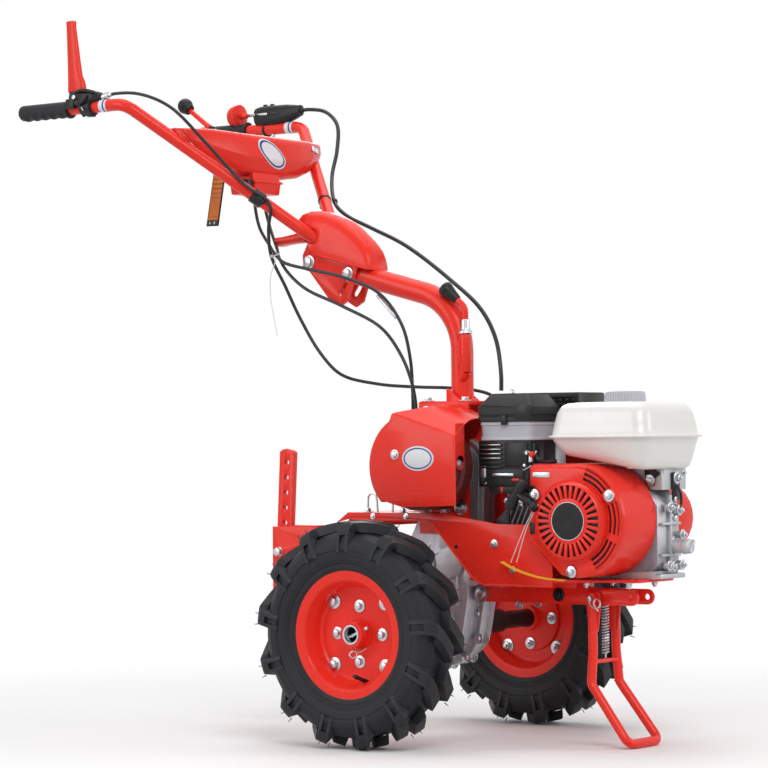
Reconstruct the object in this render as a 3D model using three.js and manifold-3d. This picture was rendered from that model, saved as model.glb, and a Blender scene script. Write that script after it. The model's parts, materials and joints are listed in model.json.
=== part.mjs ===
// Walk-behind two-wheel tractor: petrol engine on a front platform, gearbox over the axle,
// one curved column that carries a tilting handlebar, and a front parking stand.
// Millimetres. +X is the machine's left, -Y its front, +Z up. Inside the machine group the
// origin is the middle of the wheel axle; the exported origin is on the ground under the
// middle of the whole machine.
import * as THREE from 'three';
import { mergeVertices } from 'three/addons/utils/BufferGeometryUtils.js';
import Module from 'manifold-3d';

const wasm = await Module();
wasm.setup();

// ---------------------------------------------------------------- driving dimensions
const FIT = 0.3; // gap between pieces that touch

// Wheels
const TYRE_RADIUS = 205;
const TYRE_WIDTH = 105;
const TRACK = 570;
const RIM_FLANGE_RADIUS = 119;
const RIM_SEAT_RADIUS = 101;
const RIM_WELL_RADIUS = 92;
const RIM_WIDTH = 76;
const RIM_WALL = 3;
const WHEEL_DISC_OFFSET = 6; // wheel disc, inboard of the tyre's middle
const HUB_RADIUS = 24;
const HUB_FLANGE_RADIUS = 64;
const HUB_FLANGE_THICKNESS = 6;
const HUB_LENGTH = 52;
const AXLE_RADIUS = 17;

// Gearbox
const GEARBOX_WIDTH = 96;
const GEARBOX_SUMP_RADIUS = 75;
const GEARBOX_FLANGE_WIDTH = 20;
const GEARBOX_FLANGE_REACH = 12;
const OUTPUT_BOSS_RADIUS = 36;
const OUTPUT_BOSS_LENGTH = 14;

// Belt drive
const SHAFT_Y = -35; // gearbox input shaft
const SHAFT_RADIUS = 12;
const PULLEY_RADIUS = 82;
const PULLEY_WIDTH = 52;
const PULLEY_LIFT = 5; // rim of the large pulley, above the deck
const GROOVE_COUNT = 2;
const GROOVE_DEPTH = 11;
const COVER_WALL = 2.5;
const COVER_OUTER_X = 170;
const COVER_CLEARANCE = 16; // belt covers round their pulleys
const DRIVE_COVER_WIDTH = 58;
const ENGINE_PULLEY_RADIUS = 56;

// Chassis
const CHASSIS_WIDTH = 220;
const SHEET = 3;
const DECK_Z = 213;
const DECK_REAR_Y = 155;
const PLATFORM_Z = 95.7;
const PLATFORM_THICKNESS = 5;
const PLATFORM_FRONT_Y = -450;
const PLATFORM_SHOULDER_Y = -300; // full width behind this line
const PLATFORM_REAR_Y = -118;
const PLATFORM_FOLD = 12; // folded lower edge, below the platform's top
const DECK_FOLD = 13;
const PLATFORM_NOSE_WIDTH = 120;
const BAR_SPACING = 54; // between the middles of the two front bars
const BAR_THICKNESS = 6;
const BAR_HEIGHT = 28;
const BAR_Z = 62;
const BAR_FRONT_Y = -429;
const BAR_HOLE_RADIUS = 5.5;

// Parking stand
const STAND_PIN_Y = -339;
const STAND_PIN_Z = 60;
const STAND_PIN_RADIUS = 5;
const STAND_TUBE_RADIUS = 8.5;
const STAND_TOP_SPACING = 78;
const STAND_FOOT_SPACING = 104;
const STAND_FOOT_Y = -421;

// Engine
const CRANK_Y = -362;
const FAN_LIFT = 4; // lowest point of the fan housing, above the engine's feet
const ENGINE_FOOT_LENGTH = 192;
const CRANKCASE_RIGHT_X = -20;
const CRANKCASE_LEFT_X = 54;
const CRANKCASE_FRONT = 103; // front wall, before the crank
const CRANKCASE_HEIGHT = 160;
const CYLINDER_X = [-44, 62];
const CRANK_RADIUS = 11;
const CRANK_BOSS_RADIUS = 48;
const CRANK_BOSS_X = 94;
const FAN_RADIUS = 102;
const FAN_REAR = 96; // rear wall of the fan housing, behind the crank
const FAN_OUTER_X = -136;
const RECOIL_RADIUS = 72;
const RECOIL_DEPTH = 18;
const GRIP_HANDLE_RADIUS = 10;
const OIL_FILLER_X = 28;
const OIL_FILLER_HEIGHT = 58; // above the engine's feet
const OIL_FILLER_RADIUS = 13;
const TANK_WIDTH = 216; // along X
const TANK_LENGTH = 217; // along Y
const TANK_SEAM_Z = 351;
const TANK_TOP_Z = 413;
const TANK_BOTTOM_Z = 305; // under the tank's middle
const TANK_FLOOR_SLOPE = 0.165; // rising rearward
const TANK_X = -11;
const TANK_Y = -395;
const TANK_BRACKET_Y = [-470, -322];
const CAP_RADIUS = 38;
const CAP_HEIGHT = 19;
const AIR_X = [-112, -14]; // air cleaner, at the right rear
const AIR_Y = [-262, -140];
const AIR_TOP_Z = 428;
const AIR_SPLIT_Z = 379;
const AIR_BOTTOM_Z = 345;
const AIR_STAND_X = [-65.7, -40]; // neck that carries the air cleaner
const CONTROL_BOX_X = [-108, -66];
const CONTROL_BOX_Z = 261;
const MUFFLER_X = 53;
const MUFFLER_Y = [-280, -96];
const MUFFLER_Z = 388;
const MUFFLER_RADIUS = 42;
const GUARD_SHEET = 2;

// Steering column
const COLUMN_Y = -33;
const COLUMN_RADIUS = 21.2;
const COLUMN_WALL = 4;
const COLUMN_BASE_Z = 417;
const COLUMN_BEND_RADIUS = 130;
const COLUMN_SLOPE = 15; // degrees, upper stretch above level
const POST_X = -15;
const POST_Y = -51;
const POST_RADIUS = 11;
const POST_TOP_Z = 549;
const PTO_LEVER_RADIUS = 6;
const PTO_KNOB_LENGTH = 40;

// Handlebar
const PIVOT_Y = 305;
const PIVOT_Z = 692;
const PIVOT_BOLT_RADIUS = 6;
const BRACKET_INNER = 44.4; // between the two bracket plates
const BRACKET_PLATE = 5;
const CLAMP_REACH = 97; // clamp bolt, from the pivot
const CLAMP_SLOT_ANGLE = 25; // degrees of travel in the slot
const CLAMP_BOLT_RADIUS = 5;
const HANDLE_TUBE_RADIUS = 12;
const HANDLE_TUBE_WALL = 2.5;
const HANDLE_SPREAD = 556; // between the two grips' middles
const HANDLE_ROOT_Y = 267;
const HANDLE_ROOT_Z = 718;
const HANDLE_BEND_Y = 555;
const HANDLE_Z = 995;
const HANDLE_END_Y = 826;
const GRIP_LENGTH = 133;
const GRIP_RADIUS = 16.5;

// Rear hitch
const HITCH_REAR_Y = 410;
const HITCH_TOP_Z = 181;
const HITCH_PLATE = 8;
const HITCH_GAP = 14;
const HITCH_BOLT_RADIUS = 6.5;
const DEPTH_BAR_WIDTH = 35;
const DEPTH_BAR_THICKNESS = 11;
const DEPTH_BAR_TOP_Z = 333;
const DEPTH_BAR_LEAN = 3; // degrees, forwards
const DEPTH_BAR_HOLES = 5;
const DEPTH_BAR_HOLE_RADIUS = 5.8;
const DEPTH_BAR_PITCH = 29.4;

// ---------------------------------------------------------------- places worked out
const AXLE_Z = TYRE_RADIUS;
const WHEEL_X = TRACK / 2;
const ENGINE_BASE_Z = PLATFORM_Z + FIT;
const CRANK_Z = ENGINE_BASE_Z + FAN_RADIUS + FAN_LIFT;
const SHAFT_Z = DECK_Z + PULLEY_RADIUS + PULLEY_LIFT;
const CRANKCASE_FRONT_Y = CRANK_Y - CRANKCASE_FRONT;
const CRANKCASE_REAR_Y = CRANK_Y + FAN_REAR + FIT;
const CHASSIS_X = CHASSIS_WIDTH / 2;
const FRONT_Y = -512; // tip of the oil filler
const ORIGIN_Y = (FRONT_Y + HANDLE_END_Y + FIT) / 2;
const OUTPUT_BOSS_X = GEARBOX_WIDTH / 2 + OUTPUT_BOSS_LENGTH;
const BRACKET_X = GEARBOX_WIDTH / 2 + FIT; // inside of the column bracket's cheeks
const BRACKET_SHEET = 5;
const COVER_INNER_X = BRACKET_X + BRACKET_SHEET + FIT;
const PULLEY_X = COVER_OUTER_X - COVER_WALL - 14 - PULLEY_WIDTH / 2;
const HANDLE_X = HANDLE_SPREAD / 2;
const PLATE_X = BRACKET_INNER / 2;

// ---------------------------------------------------------------- shape helpers
const v3 = (x, y, z) => new THREE.Vector3(x, y, z);

// One closed, outward-facing triangle mesh that holds positions only.
function closed(geometry) {
  const bare = geometry.index ? geometry.toNonIndexed() : geometry.clone();
  for (const name of Object.keys(bare.attributes)) {
    if (name !== 'position') bare.deleteAttribute(name);
  }
  const merged = mergeVertices(bare, 1e-4);
  const position = merged.attributes.position;
  const index = merged.index.array;
  const kept = [];
  let volume = 0;
  const a = v3(), b = v3(), c = v3();
  for (let i = 0; i < index.length; i += 3) {
    const [p, q, r] = [index[i], index[i + 1], index[i + 2]];
    if (p === q || q === r || r === p) continue;
    kept.push(p, q, r);
    a.fromBufferAttribute(position, p);
    b.fromBufferAttribute(position, q);
    c.fromBufferAttribute(position, r);
    volume += a.dot(b.cross(c));
  }
  if (volume < 0) {
    for (let i = 0; i < kept.length; i += 3) [kept[i + 1], kept[i + 2]] = [kept[i + 2], kept[i + 1]];
  }
  merged.setIndex(kept);
  return merged;
}

function solid(geometry) {
  const mesh = closed(geometry);
  return new wasm.Manifold(new wasm.Mesh({
    numProp: 3,
    vertProperties: Float32Array.from(mesh.attributes.position.array),
    triVerts: Uint32Array.from(mesh.index.array),
  }));
}

function geometryOf(manifold) {
  const mesh = manifold.getMesh();
  const geometry = new THREE.BufferGeometry();
  geometry.setAttribute('position', new THREE.BufferAttribute(mesh.vertProperties, 3));
  geometry.setIndex(new THREE.BufferAttribute(mesh.triVerts, 1));
  return geometry;
}

const join = (...geometries) => geometryOf(geometries.map(solid).reduce((sum, next) => sum.add(next)));
const cut = (geometry, ...tools) =>
  geometryOf(tools.map(solid).reduce((rest, tool) => rest.subtract(tool), solid(geometry)));

function box(x0, x1, y0, y1, z0, z1) {
  return new THREE.BoxGeometry(Math.abs(x1 - x0), Math.abs(y1 - y0), Math.abs(z1 - z0))
    .translate((x0 + x1) / 2, (y0 + y1) / 2, (z0 + z1) / 2);
}

// Round bar from one point to another.
function rod(from, to, radius, segments = 16, endRadius = radius) {
  const along = to.clone().sub(from);
  const geometry = new THREE.CylinderGeometry(endRadius, radius, along.length(), segments);
  geometry.applyQuaternion(new THREE.Quaternion().setFromUnitVectors(v3(0, 1, 0), along.normalize()));
  return geometry.translate((from.x + to.x) / 2, (from.y + to.y) / 2, (from.z + to.z) / 2);
}

const crossRod = (x0, x1, y, z, radius, segments) => rod(v3(x0, y, z), v3(x1, y, z), radius, segments);

// Turned part about the X axis: profile of [x, radius] pairs.
function turned(profile, segments = 32) {
  const points = profile.map(([x, radius]) => new THREE.Vector2(radius, x));
  return new THREE.LatheGeometry(points, segments).rotateZ(-Math.PI / 2);
}

function counterclockwise(outline) {
  const points = outline.map(([u, v]) => new THREE.Vector2(u, v));
  return new THREE.Shape(THREE.ShapeUtils.isClockWise(points) ? points.reverse() : points);
}

// Flat plate in the YZ plane between two X values: outline of [y, z] pairs, round holes [y, z, r].
function plateYZ(outline, x0, x1, holes = []) {
  const shape = outline instanceof THREE.Shape ? outline : counterclockwise(outline);
  for (const [y, z, r] of holes) shape.holes.push(new THREE.Path().absarc(y, z, r, 0, 2 * Math.PI, true));
  const geometry = new THREE.ExtrudeGeometry(shape, { depth: x1 - x0, bevelEnabled: false, curveSegments: 6 });
  const toYZ = new THREE.Matrix4().makeBasis(v3(0, 1, 0), v3(0, 0, 1), v3(1, 0, 0)).setPosition(x0, 0, 0);
  return geometry.applyMatrix4(toYZ);
}

// Rounded rectangle in XY, centred on the origin.
function roundedRect(width, length, radius, segments = 5) {
  const points = [];
  const corners = [[1, 1, 0], [-1, 1, 1], [-1, -1, 2], [1, -1, 3]];
  for (const [sx, sy, quarter] of corners) {
    for (let i = 0; i <= segments; i += 1) {
      const angle = (quarter + i / segments) * Math.PI / 2;
      points.push([
        sx * (width / 2 - radius) + radius * Math.cos(angle),
        sy * (length / 2 - radius) + radius * Math.sin(angle),
      ]);
    }
  }
  return points;
}

// Skin through rings that all have as many points, closed by flat ends.
function loft(rings) {
  const count = rings[0].length;
  const positions = rings.flat().flatMap((p) => [p.x, p.y, p.z]);
  const index = [];
  for (let ring = 0; ring + 1 < rings.length; ring += 1) {
    for (let i = 0; i < count; i += 1) {
      const a = ring * count + i;
      const b = ring * count + (i + 1) % count;
      index.push(a, b, b + count, a, b + count, a + count);
    }
  }
  for (const [ring, flip] of [[0, true], [rings.length - 1, false]]) {
    for (let i = 1; i + 1 < count; i += 1) {
      const triangle = [ring * count, ring * count + i, ring * count + i + 1];
      index.push(...(flip ? triangle.reverse() : triangle));
    }
  }
  const geometry = new THREE.BufferGeometry();
  geometry.setAttribute('position', new THREE.Float32BufferAttribute(positions, 3));
  geometry.setIndex(index);
  return geometry;
}

// Straight runs joined by round bends.
function bentPath(points, bendRadius) {
  const path = new THREE.CurvePath();
  let start = points[0];
  for (let i = 1; i + 1 < points.length; i += 1) {
    const into = points[i].clone().sub(points[i - 1]).normalize();
    const outOf = points[i + 1].clone().sub(points[i]).normalize();
    const half = into.angleTo(outOf) / 2;
    const reach = bendRadius * Math.tan(half);
    const bendStart = points[i].clone().addScaledVector(into, -reach);
    const bendEnd = points[i].clone().addScaledVector(outOf, reach);
    path.add(new THREE.LineCurve3(start, bendStart));
    const centre = points[i].clone()
      .addScaledVector(outOf.clone().sub(into).normalize(), bendRadius / Math.cos(half));
    path.add(new ArcCurve(centre, bendStart, bendEnd));
    start = bendEnd;
  }
  path.add(new THREE.LineCurve3(start, points[points.length - 1]));
  return path;
}

class ArcCurve extends THREE.Curve {
  constructor(centre, from, to) {
    super();
    this.centre = centre;
    this.from = from.clone().sub(centre);
    this.to = to.clone().sub(centre);
    this.turn = new THREE.Vector3().crossVectors(this.from, this.to).normalize();
    this.angle = this.from.angleTo(this.to);
  }

  getPoint(t, target = new THREE.Vector3()) {
    return target.copy(this.from).applyAxisAngle(this.turn, this.angle * t).add(this.centre);
  }
}

// Stations along a path: only the ends of each straight run, and the bends at even steps.
class StationPath extends THREE.Curve {
  constructor(path, bendSteps) {
    super();
    this.stations = [];
    path.curves.forEach((curve) => {
      const steps = curve instanceof ArcCurve ? bendSteps : 1;
      for (let i = 0; i < steps; i += 1) this.stations.push([curve, i / steps]);
    });
    this.stations.push([path.curves.at(-1), 1]);
  }

  get steps() { return this.stations.length - 1; }

  place(t) {
    const position = Math.min(Math.max(t, 0), 1) * this.steps;
    return this.stations[Math.round(position)];
  }

  getPoint(t) { const [curve, u] = this.place(t); return curve.getPoint(u); }

  getPointAt(t) { return this.getPoint(t); }

  getTangent(t) { const [curve, u] = this.place(t); return curve.getTangent(u); }

  getTangentAt(t) { return this.getTangent(t); }
}

const circle = (radius) => new THREE.Shape().absarc(0, 0, radius, 0, 2 * Math.PI, false);

// Tube with round bends; a wall of 0 makes a solid bar.
function bentTube(points, bendRadius, radius, wall = 0, segments = 12, bendSteps = 6) {
  const path = new StationPath(bentPath(points, bendRadius), bendSteps);
  const section = circle(radius);
  if (wall > 0) section.holes.push(new THREE.Path().absarc(0, 0, radius - wall, 0, 2 * Math.PI, true));
  return new THREE.ExtrudeGeometry(section, {
    steps: path.steps, extrudePath: path, bevelEnabled: false, curveSegments: segments / 2,
  });
}

// Flexible cable through hand-set points.
function cable(points, radius, steps) {
  const path = new THREE.CatmullRomCurve3(points.map(([x, y, z]) => v3(x, y, z)), false, 'centripetal');
  return new THREE.ExtrudeGeometry(circle(radius), {
    steps, extrudePath: path, bevelEnabled: false, curveSegments: 4,
  });
}

// ---------------------------------------------------------------- materials and scene graph
const paint = (color, roughness, metalness) => new THREE.MeshStandardMaterial({ color, roughness, metalness });
const RED = () => paint(0xd8281c, 0.3, 0.1);
const DARK_RED = () => paint(0x6a2622, 0.45, 0.2);
const TANK_WHITE = () => paint(0xf1efec, 0.35, 0.0);
const BLACK_PLASTIC = () => paint(0x1b1c1f, 0.5, 0.0);
const RUBBER = () => paint(0x202226, 0.8, 0.0);
const CASTING = () => paint(0x8d8e93, 0.5, 0.7);
const ZINC = () => paint(0xb9bcc0, 0.35, 0.9);
const GREY_PLASTIC = () => paint(0xc3c5cc, 0.5, 0.0);
const AMBER = () => paint(0xc46a1c, 0.4, 0.0);

const object = new THREE.Group();
const machine = new THREE.Group();
machine.position.set(0, -ORIGIN_Y, AXLE_Z);
object.add(machine);

function add(name, geometry, material) {
  const mesh = new THREE.Mesh(closed(geometry), material);
  mesh.name = name;
  machine.add(mesh);
  return mesh;
}

const SIDES = [['right', -1], ['left', 1]];
const mirrored = (geometry, side) => (side < 0 ? closed(geometry.clone().scale(-1, 1, 1)) : geometry);

// ---------------------------------------------------------------- wheels
const WHEEL_SEGMENTS = 24; // the same on tyre and rim, so their facets run parallel
function tyre() {
  const half = TYRE_WIDTH / 2;
  const bead = RIM_WIDTH / 2 - RIM_WALL - FIT;
  const shoulder = TYRE_RADIUS - 22;
  return turned([
    [-bead, RIM_SEAT_RADIUS + FIT],
    [bead, RIM_SEAT_RADIUS + FIT],
    [bead, RIM_FLANGE_RADIUS + 1.5],
    [half - 4, RIM_FLANGE_RADIUS + 14],
    [half, TYRE_RADIUS - 48],
    [half - 3, shoulder],
    [half - 15, TYRE_RADIUS - 5],
    [0, TYRE_RADIUS],
    [15 - half, TYRE_RADIUS - 5],
    [3 - half, shoulder],
    [-half, TYRE_RADIUS - 48],
    [4 - half, RIM_FLANGE_RADIUS + 14],
    [-bead, RIM_FLANGE_RADIUS + 1.5],
    [-bead, RIM_SEAT_RADIUS + FIT],
  ], WHEEL_SEGMENTS);
}

function rim() {
  const half = RIM_WIDTH / 2;
  const well = half - 20;
  const disc = -WHEEL_DISC_OFFSET;
  const discFace = disc + RIM_WALL;
  const bore = HUB_RADIUS + FIT;
  return turned([
    [disc, bore],
    [disc, RIM_WELL_RADIUS - RIM_WALL],
    [-well, RIM_WELL_RADIUS - RIM_WALL],
    [-half, RIM_SEAT_RADIUS - RIM_WALL],
    [-half, RIM_FLANGE_RADIUS],
    [RIM_WALL - half, RIM_FLANGE_RADIUS],
    [RIM_WALL - half, RIM_SEAT_RADIUS],
    [2 - well, RIM_WELL_RADIUS],
    [well - 2, RIM_WELL_RADIUS],
    [half - RIM_WALL, RIM_SEAT_RADIUS],
    [half - RIM_WALL, RIM_FLANGE_RADIUS],
    [half, RIM_FLANGE_RADIUS],
    [half, RIM_SEAT_RADIUS - RIM_WALL],
    [well, RIM_WELL_RADIUS - RIM_WALL],
    [discFace, RIM_WELL_RADIUS - RIM_WALL],
    [discFace, bore],
    [disc, bore],
  ], WHEEL_SEGMENTS);
}

function hub() {
  const inner = -WHEEL_DISC_OFFSET - FIT - HUB_FLANGE_THICKNESS;
  const outer = inner + HUB_FLANGE_THICKNESS;
  const start = inner - 14;
  return turned([
    [start, AXLE_RADIUS + FIT],
    [start, HUB_RADIUS],
    [inner, HUB_RADIUS],
    [inner, HUB_FLANGE_RADIUS],
    [outer, HUB_FLANGE_RADIUS],
    [outer, HUB_RADIUS],
    [start + HUB_LENGTH, HUB_RADIUS],
    [start + HUB_LENGTH, AXLE_RADIUS + FIT],
    [start, AXLE_RADIUS + FIT],
  ], 16);
}

for (const [name, side] of SIDES) {
  const place = (geometry) => mirrored(geometry, side).translate(side * WHEEL_X, 0, 0);
  add(`tyre_${name}`, place(tyre()), RUBBER());
  add(`rim_${name}`, place(rim()), RED());
  add(`hub_${name}`, place(hub()), RED());
  const shaftEnd = WHEEL_X - WHEEL_DISC_OFFSET - HUB_FLANGE_THICKNESS - 14 + HUB_LENGTH - 8;
  const shaft = crossRod(OUTPUT_BOSS_X + FIT, shaftEnd, 0, 0, AXLE_RADIUS, 16);
  add(`axle_shaft_${name}`, mirrored(shaft, side), BLACK_PLASTIC());
}

// ---------------------------------------------------------------- gearbox
// Outline of the casting in YZ; reach widens it to the bolted seam flange.
function gearboxOutline(reach) {
  const radius = GEARBOX_SUMP_RADIUS - GEARBOX_FLANGE_REACH + reach;
  const shape = new THREE.Shape();
  shape.moveTo(-radius, -18);
  shape.absarc(0, 0, radius, Math.PI + 0.25, 2 * Math.PI, false);
  shape.lineTo(radius, 150);
  shape.lineTo(SHAFT_Y + 46 + reach, 250);
  shape.absarc(SHAFT_Y, SHAFT_Z, 40 + reach, 0, Math.PI, false);
  shape.lineTo(SHAFT_Y - 36 - reach, 180);
  shape.lineTo(-75 - reach, 60);
  shape.closePath();
  return shape;
}

function gearbox() {
  const half = GEARBOX_WIDTH / 2;
  const flange = GEARBOX_FLANGE_WIDTH / 2;
  const lug = BAR_SPACING / 2 - BAR_THICKNESS / 2 - FIT;
  return join(
    plateYZ(gearboxOutline(0), -half, half),
    plateYZ(gearboxOutline(GEARBOX_FLANGE_REACH), -flange, flange),
    crossRod(-OUTPUT_BOSS_X, OUTPUT_BOSS_X, 0, 0, OUTPUT_BOSS_RADIUS, 20),
    box(-lug, lug, -112, -60, BAR_Z - BAR_HEIGHT / 2, BAR_Z + BAR_HEIGHT / 2),
    crossRod(0, COVER_OUTER_X - 8, SHAFT_Y, SHAFT_Z, SHAFT_RADIUS, 16),
  );
}
add('gearbox_housing', gearbox(), CASTING());

// ---------------------------------------------------------------- chassis
const PLATE_FRONT_Y = CRANK_Y + FAN_REAR + 3; // edge that clears the fan housing
const PLATE_OUTLINE = [
  [DECK_REAR_Y, DECK_Z], [DECK_REAR_Y + 28, DECK_Z - 20], [DECK_REAR_Y, DECK_Z - DECK_FOLD],
  [-33, DECK_Z - DECK_FOLD], [-124, PLATFORM_Z + 4], [-146, PLATFORM_Z - PLATFORM_FOLD],
  [PLATFORM_SHOULDER_Y, PLATFORM_Z - PLATFORM_FOLD], [PLATFORM_SHOULDER_Y, 122],
  [PLATE_FRONT_Y, 158], [PLATE_FRONT_Y, DECK_Z - 19], [-184, DECK_Z - 19], [-60, DECK_Z],
];
for (const [name, side] of SIDES) {
  const plate = plateYZ(PLATE_OUTLINE, CHASSIS_X - SHEET, CHASSIS_X);
  add(`chassis_side_${name}`, mirrored(plate, side), RED());
}

function deck() {
  const half = CHASSIS_X - SHEET - FIT;
  const opening = GEARBOX_WIDTH / 2 + 10;
  const sheet = box(-half, half, -62, DECK_REAR_Y, DECK_Z - SHEET, DECK_Z);
  return cut(sheet, box(-opening, opening, -100, 75, DECK_Z - 10, DECK_Z + 10));
}
add('rear_deck', deck(), RED());

// Platform under the engine, with the spacer that seats it on the two front bars.
const barTop = BAR_Z + BAR_HEIGHT / 2;
function platform() {
  const wide = CHASSIS_X - SHEET - FIT;
  const nose = PLATFORM_NOSE_WIDTH / 2;
  const shape = new THREE.Shape([
    new THREE.Vector2(-wide, PLATFORM_REAR_Y), new THREE.Vector2(-wide, PLATFORM_SHOULDER_Y),
    new THREE.Vector2(-nose, PLATFORM_FRONT_Y + 20), new THREE.Vector2(-nose, PLATFORM_FRONT_Y),
    new THREE.Vector2(nose, PLATFORM_FRONT_Y), new THREE.Vector2(nose, PLATFORM_FRONT_Y + 20),
    new THREE.Vector2(wide, PLATFORM_SHOULDER_Y), new THREE.Vector2(wide, PLATFORM_REAR_Y),
  ]);
  const plate = new THREE.ExtrudeGeometry(shape, { depth: PLATFORM_THICKNESS, bevelEnabled: false })
    .translate(0, 0, PLATFORM_Z - PLATFORM_THICKNESS);
  const spacer = BAR_SPACING / 2 + BAR_THICKNESS / 2;
  return join(plate, box(-spacer, spacer, -300, -150, barTop + FIT, PLATFORM_Z - 1));
}
add('engine_platform', platform(), RED());

for (const [name, side] of SIDES) {
  const inner = BAR_SPACING / 2 - BAR_THICKNESS / 2;
  const end = BAR_HEIGHT / 2;
  const outline = new THREE.Shape();
  outline.moveTo(-79, BAR_Z - end);
  outline.lineTo(-79, barTop);
  outline.lineTo(BAR_FRONT_Y + end, barTop);
  outline.absarc(BAR_FRONT_Y + end, BAR_Z, end, Math.PI / 2, 1.5 * Math.PI, false);
  const bar = plateYZ(outline, inner, inner + BAR_THICKNESS, [
    [BAR_FRONT_Y + end, BAR_Z, BAR_HOLE_RADIUS],
    [STAND_PIN_Y, STAND_PIN_Z, STAND_PIN_RADIUS + FIT],
  ]);
  add(`front_bar_${name}`, mirrored(bar, side), RED());
}

// ---------------------------------------------------------------- parking stand
function stand() {
  const top = STAND_TOP_SPACING / 2;
  const foot = STAND_FOOT_SPACING / 2;
  const ground = -AXLE_Z + STAND_TUBE_RADIUS;
  const knee = -AXLE_Z + 112;
  const legs = bentTube([
    v3(-top, STAND_PIN_Y, STAND_PIN_Z), v3(-top, STAND_PIN_Y - 1, knee + 60),
    v3(-top - 8, STAND_PIN_Y - 2, knee), v3(-foot, STAND_FOOT_Y, ground),
    v3(foot, STAND_FOOT_Y, ground), v3(top + 8, STAND_PIN_Y - 2, knee),
    v3(top, STAND_PIN_Y - 1, knee + 60), v3(top, STAND_PIN_Y, STAND_PIN_Z),
  ], 14, STAND_TUBE_RADIUS, 0, 10, 2);
  const eye = (side) => crossRod(side * (top - 7), side * (top + 7), STAND_PIN_Y, STAND_PIN_Z, 12, 16);
  const bore = crossRod(-100, 100, STAND_PIN_Y, STAND_PIN_Z, STAND_PIN_RADIUS + FIT, 16);
  const crossBar = crossRod(-top, top, STAND_PIN_Y - 4, knee + 40, 3.5, 10);
  return cut(join(legs, eye(-1), eye(1), crossBar), bore);
}
add('stand_leg', stand(), RED());
add('stand_pin', crossRod(-STAND_TOP_SPACING / 2 - 12, STAND_TOP_SPACING / 2 + 12,
  STAND_PIN_Y, STAND_PIN_Z, STAND_PIN_RADIUS, 16), ZINC());
const springBottom = -AXLE_Z + 112 + 40 + 3.5 + FIT;
add('stand_spring', rod(v3(0, STAND_PIN_Y - 4, springBottom),
  v3(0, STAND_PIN_Y - 2, STAND_PIN_Z - STAND_PIN_RADIUS - FIT), 7, 12), ZINC());

// ---------------------------------------------------------------- engine
function engineBlock() {
  const [front, rear] = [CRANKCASE_FRONT_Y, CRANKCASE_REAR_Y];
  const low = ENGINE_BASE_Z;
  const top = low + CRANKCASE_HEIGHT;
  const crankcase = [
    [front, low + 26], [front + 12, low + 12], [rear - 8, low + 12], [rear, low + 40], [rear, top],
    [front + 22, top], [front, top - 30],
  ];
  const cylinder = [[rear, low + 40], [rear + 117, low + 92], [rear + 93, low + 186], [rear - 14, top]];
  const tankBracket = TANK_BOTTOM_Z + TANK_FLOOR_SLOPE * (TANK_BRACKET_Y[0] - TANK_Y) - FIT;
  return join(
    plateYZ(crankcase, CRANKCASE_RIGHT_X, CRANKCASE_LEFT_X),
    plateYZ(cylinder.slice(0, 3).concat([[rear, top]]), ...CYLINDER_X),
    box(CRANKCASE_RIGHT_X, CRANKCASE_LEFT_X + 8, CRANK_Y - ENGINE_FOOT_LENGTH / 2,
      CRANK_Y + ENGINE_FOOT_LENGTH / 2, low, low + 14),
    box(CRANKCASE_RIGHT_X + 8, CRANKCASE_LEFT_X + 18, ...TANK_BRACKET_Y, top - 1, tankBracket),
    box(AIR_STAND_X[0], AIR_STAND_X[1], -235, -175, 230, AIR_BOTTOM_Z - FIT),
    box(36, 70, -215, -175, 270, MUFFLER_Z - MUFFLER_RADIUS - FIT),
    crossRod(CRANKCASE_LEFT_X - 1, CRANK_BOSS_X, CRANK_Y, CRANK_Z, CRANK_BOSS_RADIUS, 20),
    crossRod(CRANK_BOSS_X - 1, COVER_OUTER_X - DRIVE_COVER_WIDTH - 1, CRANK_Y, CRANK_Z, CRANK_RADIUS, 16),
  );
}
add('engine_block', engineBlock(), CASTING());

// Fan housing outline in YZ round the crank centre, drawn smaller by inset.
function fanOutline(inset) {
  const radius = FAN_RADIUS - inset;
  const shape = new THREE.Shape();
  const rear = CRANK_Y + FAN_REAR - inset;
  shape.moveTo(rear, CRANK_Z + 40);
  shape.lineTo(rear, CRANK_Z + FAN_RADIUS - 8 - inset);
  shape.lineTo(rear - 8, CRANK_Z + radius);
  shape.lineTo(CRANK_Y + 10, CRANK_Z + radius);
  shape.absarc(CRANK_Y, CRANK_Z, radius, Math.PI / 2, 1.6 * Math.PI, false);
  shape.lineTo(rear, CRANK_Z - 35);
  shape.closePath();
  return shape;
}
const fanInner = CRANKCASE_RIGHT_X - FIT;
add('fan_housing', cut(
  plateYZ(fanOutline(0), FAN_OUTER_X, fanInner),
  plateYZ(fanOutline(COVER_WALL), FAN_OUTER_X + COVER_WALL, fanInner + 10),
), RED());

const recoilBase = FAN_OUTER_X - FIT;
add('recoil_starter', turned([
  [recoilBase, RECOIL_RADIUS - COVER_WALL], [recoilBase, RECOIL_RADIUS],
  [recoilBase - RECOIL_DEPTH * 0.6, RECOIL_RADIUS - 4], [recoilBase - RECOIL_DEPTH, RECOIL_RADIUS - 14],
  [recoilBase - RECOIL_DEPTH, 0], [recoilBase - RECOIL_DEPTH + COVER_WALL, 0],
  [recoilBase - RECOIL_DEPTH + COVER_WALL, RECOIL_RADIUS - 16],
  [recoilBase - RECOIL_DEPTH * 0.5, RECOIL_RADIUS - 4 - COVER_WALL],
  [recoilBase, RECOIL_RADIUS - COVER_WALL],
], 24).translate(0, CRANK_Y, CRANK_Z), RED());

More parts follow.
